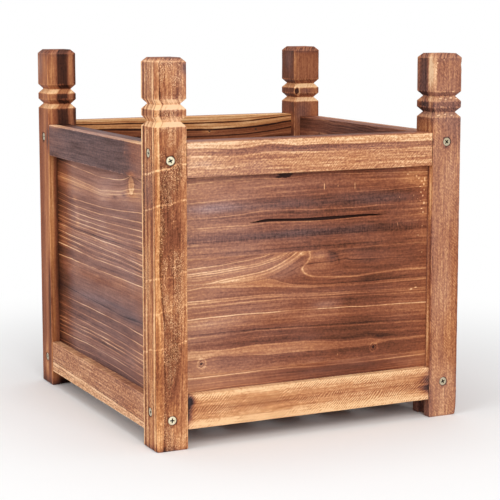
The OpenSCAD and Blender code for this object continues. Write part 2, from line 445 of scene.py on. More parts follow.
def bore(fastener, sunk):
    """The hole for one fastener, open past its head; a screw's hole follows its cone."""
    outer, inner = fastener.head_d / 2, fastener.shank_d / 2
    rim = SCREW_RIM if sunk else NAIL_RIM
    cone = outer - inner if sunk else 0.01
    start, end = -HEAD_SINK - 1, fastener.length + 0.1
    profile = [
        (0, start), (outer + BORE_FIT, start), (outer + BORE_FIT, rim),
        (inner + BORE_FIT, rim + cone), (inner + BORE_FIT, end), (0, end),
    ]
    points, faces = lathe(profile, BORE_SIDES)
    return set_along(points, fastener.head, fastener.direction), faces


def cut_bores(piece, names):
    """Cuts the holes of the named fasteners that reach into the piece."""
    box = np.array([list(c) for c in piece.bound_box]) / MM
    low, high = box.min(0) - 1, box.max(0) + 1
    found = []
    for name in names:
        for fastener in FASTENERS[name]:
            tip = fastener.head + fastener.direction * fastener.length
            least, most = np.minimum(fastener.head, tip), np.maximum(fastener.head, tip)
            if (least < high).all() and (most > low).all():
                found.append(bore(fastener, "screws" in name))
    if found:
        cut(piece, *joined(found))


# Wood: where the grain runs on a piece, and how its surface looks

# Rings of a small knot, a speck, a hole, a large pale knot and a ringed one, as (distance from the
# middle, change of tone)
KNOT = [(0, -.5), (.14, -.5), (.26, -.05), (.38, .18), (.50, -.20), (.60, .10), (.78, .18)]
SPECK = [(0, .42), (.6, .42)]
HOLE = [(0, -.5), (.68, -.5), (.84, -.2)]
PALE_KNOT = [(0, .22), (.3, .12), (.5, .24), (.72, .20), (.84, -.04), (.92, -.12)]
RINGED_KNOT = [(0, -.5), (.46, -.5), (.56, -.1), (.66, .36), (.86, .34)]

# Drawn grain lines: steps of the smoothing, least gap, and limits of the width of the rings
BEND_STEPS = (-6, -2, 2, 6)
CONTOUR_GAP = 0.15
RING_WIDTHS = (0.1, 1.0)


@dataclass
class Wood:
    """How one piece of wood looks.

    Places are in millimetres along (u) and across (v) the grain, and tones go from burnt 0 to bare 1.
    flow has drawn grain lines as (ring value, points), and rise is a wave in their stead.
    bands and lines are (ring value, tone) and (ring value, change of tone).
    fade and cool are (u, change of tone) and (u, colour from golden -1 and warm 0 to grey 1, painted sheen
    2).
    spots are (u, v, reach along, reach across, change of tone, change of colour).
    strokes are (points, reach, change of tone), and scrapes are (slanted u, change of tone).
    eyes are (u, v, half length, half height, rings), and specks the same without rings.
    """
    bands: list
    lines: list = field(default_factory=list)
    flow: list = None
    rise: Callable = None
    fade: list = field(default_factory=lambda: [(0, 0)])
    cool: list = field(default_factory=lambda: [(0, 0.3)])
    spots: list = field(default_factory=list)
    scrapes: list = field(default_factory=list)
    eyes: list = field(default_factory=list)
    specks: list = field(default_factory=list)
    strokes: list = field(default_factory=list)
    slant: float = 0.6
    crisp: float = 1.5
    line_width: float = 0.75
    sway: float = 0.6
    streak: float = 0.07
    ring: float = 0.10
    fibre: float = 0.10
    pore: float = 0.07
    grit: float = 0.05
    comb: float = 0.0
    fleck: float = 0.0
    hatch: float = 0.0
    lean: float = 1.0
    wear: float = 0.3
    wear_width: float = 1.0
    chip: float = 0.8
    # Painted light and shade on the top face, as a change of tone
    top_light_shift: float = 0.0
    seed: int = 1


def bend(u, points):
    """Height of a grain line drawn through a few points, with its corners smoothed."""
    at, height = zip(*points)
    return sum(np.interp(u + step, at, height) for step in BEND_STEPS) / len(BEND_STEPS)


def follow(u, v, flow):
    """Ring value of each place between drawn grain lines, and how wide the rings are there."""
    values = np.array([value for value, _ in flow], float)
    heights = np.array([bend(u, points) for _, points in flow])
    for row in range(1, len(heights)):
        heights[row] = np.maximum(heights[row], heights[row - 1] + CONTOUR_GAP)
    above = np.clip((v >= heights).sum(0), 1, len(values) - 1)
    here = np.arange(len(u))
    low, high = heights[above - 1, here], heights[above, here]
    width = (high - low) / (values[above] - values[above - 1])
    ring = values[above - 1] + (np.clip(v, low, high) - low) / width
    ring += np.minimum(v - heights[0], 0) + np.maximum(v - heights[-1], 0)
    return ring, np.clip(width, *RING_WIDTHS)


def grain_of(wood, u, v):
    """Ring value and ring width of each place, by the drawn grain lines or by a gentle wave."""
    if wood.flow:
        return follow(u, v, wood.flow)
    return v - (wood.rise(u, v) if wood.rise else 0), np.ones_like(u)


def stroke_distance(u, v, points):
    """Distance of each place from a line drawn through points."""
    near_line = np.full(u.shape, 1e9)
    for (u0, v0), (u1, v1) in zip(points, points[1:]):
        along = ((u - u0) * (u1 - u0) + (v - v0) * (v1 - v0)) / ((u1 - u0) ** 2 + (v1 - v0) ** 2)
        along = np.clip(along, 0, 1)
        off = np.hypot(u - u0 - along * (u1 - u0), v - v0 - along * (v1 - v0))
        near_line = np.minimum(near_line, off)
    return near_line


def set_attribute(mesh, name, values):
    """Stores three values per point."""
    layer = mesh.attributes.new(name, "FLOAT_VECTOR", "POINT")
    layer.data.foreach_set("vector", values.ravel())


def paint(piece, wood, u, v, depth, edge, shift=0.0):
    """Stores the grain and the marks of a piece, with its painted light and shade, on its points, and
    makes its material.
    """
    shift = shift + np.interp(u, *zip(*wood.fade))
    cool = np.interp(u, *zip(*wood.cool))
    for u0, v0, reach_u, reach_v, tone, *more in wood.spots:
        spot = np.exp(-((u - u0) / reach_u) ** 2 - ((v - v0) / reach_v) ** 2)
        shift = shift + tone * spot
        cool = cool + sum(more) * spot
    for points, reach, tone in wood.strokes:
        shift = shift + tone * np.exp(-(stroke_distance(u, v, points) / reach) ** 2)
    ring, width = grain_of(wood, u, v)
    across = ring + wood.slant * depth
    set_attribute(piece.data, "grain", np.stack([u, across, depth], 1))
    set_attribute(piece.data, "plain", np.stack([u, v, width], 1))
    set_attribute(piece.data, "marks", np.stack([shift, cool, edge], 1))
    return wood_material(piece.name, wood, float(across.min()) - 1, float(across.max()) + 1)


class Shader:
    """Short calls for the nodes of one material."""

    def __init__(self, name):
        self.material = bpy.data.materials.new(name)
        self.material.use_nodes = True
        self.tree = self.material.node_tree
        self.tree.nodes.clear()

    def feed(self, socket, value):
        if isinstance(value, bpy.types.NodeSocket):
            self.tree.links.new(value, socket)
        else:
            socket.default_value = value

    def add(self, kind, inputs=None, **settings):
        node = self.tree.nodes.new(kind)
        for name, value in settings.items():
            setattr(node, name, value)
        for name, value in (inputs or {}).items():
            self.feed(node.inputs[name], value)
        return node

    def math(self, operation, *values, clamp=False):
        node = self.add("ShaderNodeMath", operation=operation, use_clamp=clamp)
        for socket, value in zip(node.inputs, values):
            self.feed(socket, value)
        return node.outputs[0]

    def total(self, *values):
        result = values[0]
        for value in values[1:]:
            result = self.math("ADD", result, value)
        return result

    def attribute(self, name):
        return self.add("ShaderNodeAttribute", attribute_name=name).outputs["Vector"]

    def split(self, vector):
        return self.add("ShaderNodeSeparateXYZ", {"Vector": vector}).outputs

    def noise(self, vector, scale, offset=0.0, detail=2.0, roughness=0.5):
        """Noise between about 0 and 1; the scale is in waves per unit, by direction."""
        place = self.add("ShaderNodeVectorMath", operation="MULTIPLY_ADD")
        self.feed(place.inputs[0], vector)
        place.inputs[1].default_value = scale
        place.inputs[2].default_value = (offset, 1.7 * offset, 0.6 * offset)
        texture = self.add("ShaderNodeTexNoise", {
            "Vector": place.outputs[0], "Scale": 1.0, "Detail": detail, "Roughness": roughness,
        })
        return texture.outputs["Fac"]

    def length(self, vector):
        return self.add("ShaderNodeVectorMath", {0: vector}, operation="LENGTH").outputs["Value"]

    def spread(self, value, amount):
        """Noise about zero; its peaks change the tone by about the amount."""
        return self.math("MULTIPLY", self.math("SUBTRACT", value, 0.5), 5.0 * amount)

    def ridge(self, value, level, sharpness):
        """Thin lines where a noise crosses a level."""
        off = self.math("ABSOLUTE", self.math("SUBTRACT", value, level))
        return self.math("MULTIPLY_ADD", off, -sharpness, 1.0, clamp=True)

    def remap(self, value, low, high, to_low=0.0, to_high=1.0, smooth=False):
        node = self.add("ShaderNodeMapRange", {
            "Value": value, "From Min": low, "From Max": high, "To Min": to_low, "To Max": to_high,
        }, interpolation_type="SMOOTHSTEP" if smooth else "LINEAR")
        return node.outputs["Result"]

    def ramp(self, value, stops):
        node = self.add("ShaderNodeValToRGB", {"Fac": value})
        elements = node.color_ramp.elements
        elements.remove(elements[1])
        for number, (place, colour) in enumerate(stops):
            element = elements[0] if number == 0 else elements.new(place)
            element.position = place
            element.color = colour
        return node.outputs["Color"]

    def grey_ramp(self, value, stops, low, high):
        """Reads a tone between places from low to high, with as many ramps as the stops need."""
        level = self.remap(value, low, high)
        stops = sorted(((p - low) / (high - low), t) for p, t in stops)
        total = None
        for start in range(0, len(stops) - 1, RAMP_STOPS - 1):
            part = stops[start:start + RAMP_STOPS]
            ramp = self.ramp(level, [(p, (t, t, t, 1.0)) for p, t in part])
            if total is None:
                total = ramp
            else:
                total = self.math("ADD", total, self.math("SUBTRACT", ramp, part[0][1]))
        return total

    def hairlines(self, value, lines, low, high, width):
        """Thin lines as (place, change of tone), each with a faint opposite line beside it."""
        total = 0.0
        for start in range(0, len(lines), RAMP_LINES):
            stops = [(low, 0.5), (high, 0.5)]
            for place, tone in lines[start:start + RAMP_LINES]:
                stops += [(place - width, 0.5), (place, 0.5 + tone)]
                stops += [(place + width, 0.5 - LINE_ECHO * tone), (place + LINE_END * width, 0.5)]
            ramp = self.grey_ramp(value, stops, low, high)
            total = self.math("ADD", total, self.math("SUBTRACT", ramp, 0.5))
        return total

    def eye(self, place, wobble, u0, v0, half_u, half_v, rings):
        """Rings about a point: changes of tone by the distance from it, where 1 is the rim."""
        off = self.add("ShaderNodeVectorMath", operation="MULTIPLY_ADD")
        self.feed(off.inputs[0], place)
        off.inputs[1].default_value = (1 / half_u, 1 / half_v, 0)
        off.inputs[2].default_value = (-u0 / half_u, -v0 / half_v, 0)
        length = self.length(off.outputs[0])
        stops = [(d, (0.5 + t, 0.5 + t, 0.5 + t, 1.0)) for d, t in [*rings, (1.0, 0.0)]]
        return self.math("SUBTRACT", self.ramp(self.math("ADD", length, wobble), stops), 0.5)

    def blend(self, factor, a, b):
        node = self.add("ShaderNodeMix", data_type="RGBA")
        self.feed(node.inputs[0], factor)
        self.feed(node.inputs[6], a)
        self.feed(node.inputs[7], b)
        return node.outputs[2]

    def finish(self, shader):
        output = self.add("ShaderNodeOutputMaterial")
        self.tree.links.new(shader, output.inputs["Surface"])
        return self.material


def wood_material(name, wood, low, high):
    """Torched and varnished fir: bands and thin lines, fibres, pores, saw marks and worn edges."""
    s = Shader(name)
    grain, plain_place = s.attribute("grain"), s.attribute("plain")
    marks, plain = s.split(s.attribute("marks")), s.split(plain_place)

    def noise(kind, place=grain):
        scale, offset, detail, roughness = NOISES[kind]
        return s.noise(place, scale, 7.3 * wood.seed + offset, detail, roughness)

    def peaks(kind, value, low=0.0, high=1.0):
        return s.remap(value, *PEAKS[kind], low, high)

    across = s.math("ADD", s.split(grain)["Y"], s.spread(noise("sway"), wood.sway))
    streak, ring, fibre, patch = noise("streak"), noise("ring"), noise("fibre"), noise("patch")
    dark_ring = s.math("MULTIPLY", s.ridge(ring, 0.56, 12.0), 0.7)
    rings = s.math("SUBTRACT", s.ridge(ring, 0.5, 14.0), dark_ring)
    rings = s.math("MULTIPLY", rings, peaks("patch", patch, 0.0, wood.ring))
    fine = s.total(s.spread(streak, wood.streak), s.spread(fibre, wood.fibre), rings)
    tone = s.grey_ramp(across, wood.bands, low, high)
    parts = [tone, marks["X"], s.math("MULTIPLY", fine, plain["Z"]), s.spread(patch, PATCHES)]
    parts.append(peaks("pore", noise("pore"), 0.0, -wood.pore))
    parts.append(s.spread(noise("grit", plain_place), wood.grit))
    relief = s.total(s.math("MULTIPLY", streak, 0.5), s.math("MULTIPLY", fibre, 0.6))
    if wood.lines:
        crisp = [(place, wood.crisp * tone) for place, tone in wood.lines]
        lines = s.hairlines(across, crisp, low, high, wood.line_width)
        parts.append(s.math("MULTIPLY", lines, peaks("gap", noise("gap"), 0.45, 1.2)))
    if wood.fleck:
        cluster = peaks("cluster", noise("cluster"))
        flecks = s.math("MULTIPLY", peaks("fleck", noise("fleck"), 0.0, wood.fleck), cluster)
        parts.append(s.math("MULTIPLY", flecks, s.remap(tone, 0.66, 0.50, 0.25, 1.0)))
    if wood.eyes or wood.specks:
        wobble = s.spread(noise("wobble", plain_place), EYE_WOBBLE)
        parts += [s.eye(plain_place, wobble, *eye) for eye in wood.eyes]
        parts += [s.eye(plain_place, wobble, *speck, SPECK) for speck in wood.specks]
    if wood.comb:
        comb = s.spread(noise("comb", plain_place), wood.comb)
        parts.append(s.math("MULTIPLY", comb, s.remap(tone, 0.62, 0.42)))
    if wood.scrapes:
        slope = s.math("MULTIPLY_ADD", plain["Y"], -SCRAPE_SLOPE, plain["X"])
        slope = s.total(slope, s.spread(patch, 2.0), s.spread(fibre, 0.5))
        scrapes = s.hairlines(slope, wood.scrapes, 0.0, SCRAPE_SPAN, SCRAPE_WIDTH)
        parts.append(s.math("MULTIPLY", scrapes, peaks("streak", streak, 0.1, 1.2)))
    if wood.hatch:
        lean = s.math("MULTIPLY_ADD", plain["Y"], -wood.lean, plain["X"])
        wave = s.math("MULTIPLY", s.total(lean, s.spread(noise("hatch"), 2.5)), HATCH_WAVE)
        mask = peaks("mask", noise("mask"))
        hatch = s.math("MULTIPLY", s.math("MULTIPLY", s.math("SINE", wave), mask), wood.hatch)
        parts.append(hatch)
        relief = s.total(relief, s.math("MULTIPLY", hatch, 2.0))
    sum_tone = s.total(*parts)
    rough_edge = s.math("ADD", marks["Z"], s.spread(noise("chip"), wood.chip))
    wear = s.remap(rough_edge, wood.wear_width, WEAR_CORE * wood.wear_width, 0.0, wood.wear)
    worn_tone = s.math("MULTIPLY_ADD", s.math("SUBTRACT", BARE_TONE, sum_tone), wear, sum_tone)
    worn_tone = s.math("ADD", worn_tone, 0.0, clamp=True)
    cool = s.math("ADD", marks["Y"], s.spread(patch, COOL_SWING))
    warm_colour, cool_colour, sheen_colour, gold_colour = [
        s.ramp(worn_tone, [(t, srgb(c)) for t, c in palette]) for palette in (WARM, COOL, SHEEN, GOLD)
    ]
    colour = s.blend(s.remap(cool, 0.0, 1.0), warm_colour, cool_colour)
    colour = s.blend(s.remap(cool, 0.0, -1.0), colour, gold_colour)
    # Above 1 the colour turns to the painted sheen, a purple grey of light on the varnish
    colour = s.blend(s.remap(cool, 1.0, 2.0), colour, sheen_colour)
    distance, strength = GRAIN_BUMP
    bump = s.add("ShaderNodeBump", {"Height": relief, "Distance": distance, "Strength": strength})
    bsdf = s.add("ShaderNodeBsdfPrincipled", {
        "Base Color": colour,
        "Roughness": peaks("fibre", fibre, *VARNISH),
        "Normal": bump.outputs["Normal"],
        "Specular IOR Level": SPECULAR,
    })
    return s.finish(bsdf.outputs["BSDF"])


def metal_material(name, colour, worn, roughness):
    """Plated steel with faint wear, and painted shade that darkens it with depth below the top of the
    head, in the cross recess and at the head's rim.
    """
    s = Shader(name)
    place = s.add("ShaderNodeTexCoord").outputs["Object"]
    patch = s.noise(place, [METAL_PATCHES] * 3, 0.0, 3.0)
    fine = s.noise(place, [METAL_GRAIN] * 3, 4.0, 2.0)
    sunk = s.split(s.attribute("sunk"))
    tint = s.blend(s.remap(patch, 0.35, 0.7), srgb(colour), srgb(worn))
    tint = s.blend(sunk["Y"], tint, srgb(DULL_COLOUR))
    # Painted shade in the cross recess and at the rim, darker with depth below the head
    tint = s.blend(s.remap(sunk["X"], 0.0, 0.6), tint, srgb(RECESS_SHADE))
    distance, strength = METAL_BUMP
    bump = s.add("ShaderNodeBump", {"Height": fine, "Distance": distance, "Strength": strength})
    bsdf = s.add("ShaderNodeBsdfPrincipled", {
        "Base Color": tint,
        "Metallic": METALLIC,
        "Roughness": s.remap(fine, 0.2, 0.8, roughness - 0.08, roughness + 0.08),
        "Normal": bump.outputs["Normal"],
    })
    return s.finish(bsdf.outputs["BSDF"])


def dress(piece, node, slot, material, angle=35):
    """Finishes a piece that stands for a CAD node."""
    piece.data.materials.clear()
    piece.data.materials.append(material)
    piece.data.shade_smooth()
    piece.data.set_sharp_from_angle(angle=math.radians(angle))
    flat = piece.modifiers.new("flat faces", "WEIGHTED_NORMAL")
    flat.keep_sharp = True
    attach(piece, "root")
    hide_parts(node)


# Boards, rails, bearers and slats

@dataclass
class Timber:
    """One straight piece: its node, the turn of its wall, how it looks and where its grid is close."""
    node: str
    turns: int
    slot: str
    wood: Wood
    ease: float = 1.0
    step: float = 4.0
    near_u: list = field(default_factory=list)
    near_v: list = field(default_factory=list)
    shape: Callable = None
    char: Callable = None
    holes: tuple = ()


def edge_distance(points, low, high):
    """Distance of surface points from the nearest edge of their box."""
    inset = np.sort(np.minimum(np.abs(points - low), np.abs(high - points)), axis=1)
    return np.hypot(inset[:, 0], inset[:, 1])


def build_timber(t):
    """One straight piece: uneven edges, slightly hollow faces, its holes and its looks."""
    low, high = local_box(t.node, t.turns)
    ease_max = EASE_MOST * t.ease
    us = grid_lines(low[0], high[0], t.step, ease_max, t.near_u)
    ds = grid_lines(low[1], high[1], t.step, ease_max)
    vs = grid_lines(low[2], high[2], STEP_UP * t.step, ease_max, t.near_v)
    points, faces = lattice(us, ds, vs)
    along = points[:, 0] + 90 * np.sign(points[:, 2] - low[2] - 1)
    worn = t.ease * (1 + EASE_SWING * wander(along, t.wood.seed, EASE_WAVE))
    placed = rounded(points, low, high, np.clip(worn, EASE_LEAST * t.ease, ease_max))
    outward = np.sign(placed[:, 1] - (low[1] + high[1]) / 2)
    face = smooth_step(edge_distance(placed, low, high) / DIP_EDGE - 0.3)
    dip = DIP + DIP * wander(placed[:, 0] + 0.7 * placed[:, 2], t.wood.seed + 50, DIP_WAVE)
    placed[:, 1] -= outward * dip * face
    if t.shape:
        placed = t.shape(placed, low, high)
    name = t.node + "_wood"
    piece = new_piece(name, turned(placed, t.turns), faces)
    if t.holes:
        cut_bores(piece, t.holes)
    here = turned(mesh_points(piece), -t.turns)
    edge = edge_distance(here, low, high)
    # Painted light and shade on the top face, and painted shade on the inner face
    shift = t.wood.top_light_shift * smooth_step((here[:, 2] - high[2] + FACE_SKIN) / FACE_FADE)
    shift += INNER_SHADE * smooth_step((here[:, 1] - high[1] + FACE_SKIN) / FACE_FADE)
    if t.char:
        shift += t.char(here[:, 0], here[:, 1] - low[1], here[:, 2])
    material = paint(piece, t.wood, here[:, 0], here[:, 2], here[:, 1] - low[1], edge, shift)
    dress(piece, t.node, t.slot, material)


def drawn(stations, *heights):
    """A grain line by its heights at stations that it shares with others."""
    return list(zip(stations, heights))


def random_bands(seed, low, high, tone, swing, count=24):
    """Bands of a board that the photograph doesn't show."""
    rng = random.Random(seed)
    places = np.linspace(low, high, count)
    return [(float(p), tone + swing * rng.uniform(-1, 1)) for p in places]


def wavy(seed, height, reach):
    """A gentle wave of the grain lines."""
    return lambda u, v: height * wander(u + 0.3 * v, seed, reach)


# The crack in the front wall's upper board: points along it, its greatest width and its depth
CRACK = [
    (-69, 228.5), (-51, 230.2), (-39, 229.8), (-13, 228.6), (9, 228), (39, 228.4), (69, 228.9),
    (97, 228.5),
]
CRACK_WIDTH = [
    (-62, 0), (-59.5, 2), (-53, 3.4), (-42, 2.7), (-26, 2.3), (-4, 3), (12, 3.6), (29, 3.3), (45, 2.9),
    (65, 2.2), (80, 1.2), (92, 0),
]
CRACK_DEPTH = 2.4

# Height about which the grid bends onto the crack and how far that reaches, its tone and its skin
CRACK_MIDDLE = 229.8
CRACK_REACH = 9
CRACK_TONE = -0.9
CRACK_SKIN = 3


def crack_place(u, v):
    """How far inside the crack a place is: 1 on its middle line and 0 outside."""
    half = np.maximum(bend(u, CRACK_WIDTH) / 2, 1e-3)
    return np.clip(1 - ((v - bend(u, CRACK)) / half) ** 2, 0, 1) * (half > 0.05)


def open_crack(points, low, high):
    """Bends the grid onto the crack and sinks it there, on the outer face."""
    u, d, v = points.T
    v = v + (bend(u, CRACK) - CRACK_MIDDLE) * np.exp(-((v - CRACK_MIDDLE) / CRACK_REACH) ** 2)
    outer = d < low[1] + CRACK_SKIN
    d = d + np.where(outer, CRACK_DEPTH * crack_place(u, v) ** 0.6, 0)
    return np.stack([u, d, v], 1)


def crack_char(u, d, v):
    """The crack is burnt black inside."""
    return CRACK_TONE * np.minimum(1, 1.6 * crack_place(u, v)) * (d < CRACK_SKIN + 1)


# Front wall, seen from outside: u runs from the left post to the right one, and v is the height
FRONT_UPPER = Wood(
    flow=[
        (194.5, [(0, 194.5)]), (211.5, [(0, 211.5)]), (217.5, [(0, 217.5)]), (229.5, CRACK),
        (232.6, [(-146, 233), (-80, 234.4), (-50, 235.2), (0, 233), (146, 233)]),
        (236, [(-146, 236), (-100, 236.8), (-75, 238.4), (-55, 240.4), (0, 238.5), (146, 239)]),
        (254, [(-146, 251.5), (-70, 253.5), (60, 254.5), (146, 256)]),
        (266, [(-146, 264.5), (-100, 266.5), (30, 270), (146, 268)]),
        (273, [(-146, 271), (-60, 274.3), (-35, 271.5), (10, 275.5), (146, 271.5)]),
        (278, [(-146, 276.5), (0, 278.5), (60, 276.5), (146, 274.5)]), (316, [(0, 316)]),
    ],
    bands=[
        (191, .62), (196, .61), (199, .56), (202, .62), (206, .61), (209.5, .58), (211.2, .44), (214, .46),
        (217.5, .48), (220, .55), (224, .6), (227, .64), (231, .58), (234, .51), (236, .59), (239, .53),
        (243, .52), (248, .53), (252.5, .55), (255, .62), (260, .64), (266, .68), (270, .64), (274, .64),
        (277, .58), (282, .5), (316, .5),
    ],
    lines=[
        (199.2, -.1), (201.5, .05), (205, .04), (211, -.08), (224, .08), (227, .12), (232.6, .12),
        (236, .18), (239, .06), (246, .04), (254.5, .15), (258, .05), (264, .08), (266.5, -.1), (270, .07),
        (273.4, .16), (276.4, -.08), (278, .1),
    ],
    fade=[
        (-146, .02), (-120, -.02), (-72, -.1), (-24, -.17), (24, -.22), (72, -.22), (108, -.2),
        (130, -.11), (146, 0),
    ],
    # On the left, cool above 1, with the colour of the first spot, paints the purple sheen of light on the
    # varnish
    cool=[(-146, .9), (-90, .8), (-40, .45), (30, .15), (90, .05), (146, 0)],
    spots=[
        (-110, 246, 34, 5, .03, .8), (-30, 246, 50, 5, -.02, .5), (85, 247, 48, 6.5, -.07, .5),
        (-20, 214.5, 90, 3.5, -.03, .5), (125, 268, 16, 12, .15, -.2), (141, 258, 5, 9, .08, -.6),
        (-34, 271.5, 8, 1.8, .16), (-55, 239, 5, 3, .1), (-120, 234, 30, 6, -.05), (75, 270, 40, 8, .04),
    ],
    eyes=[(-29, 277.8, 9.5, 5.4, HOLE), (-36.5, 274.6, 4.5, 1.3, HOLE)],
    specks=[
        (17.5, 262, .8, 4.2), (34, 262, .9, 1), (54.5, 261, .6, 4.5), (138, 262, 1.3, .9),
        (140.5, 258.5, .9, 1.8), (137, 250, 1.1, .9), (139.5, 246, .9, 1.5), (141, 238, .8, 2.2),
        (138, 232, 1.2, .8), (140, 228, .9, 1.4), (108, 217, .6, 2.6), (131, 268, 1.6, .7),
        (134, 265, .8, .8), (141.6, 264, .8, 2.6), (136, 256, 1.4, .6), (141, 252, .8, 1.6),
        (133, 243, 1, .5), (136.5, 240.6, .6, .6), (128, 247, .5, 1.2), (110, 246, .5, 1.2),
        (120, 270.5, 1.4, .5), (139, 213, .8, 1), (134, 203, .7, .7),
    ],
    streak=.025, ring=.03, fibre=.08, pore=.07, grit=.1, comb=.11, fleck=.05, slant=.2, seed=1,
)
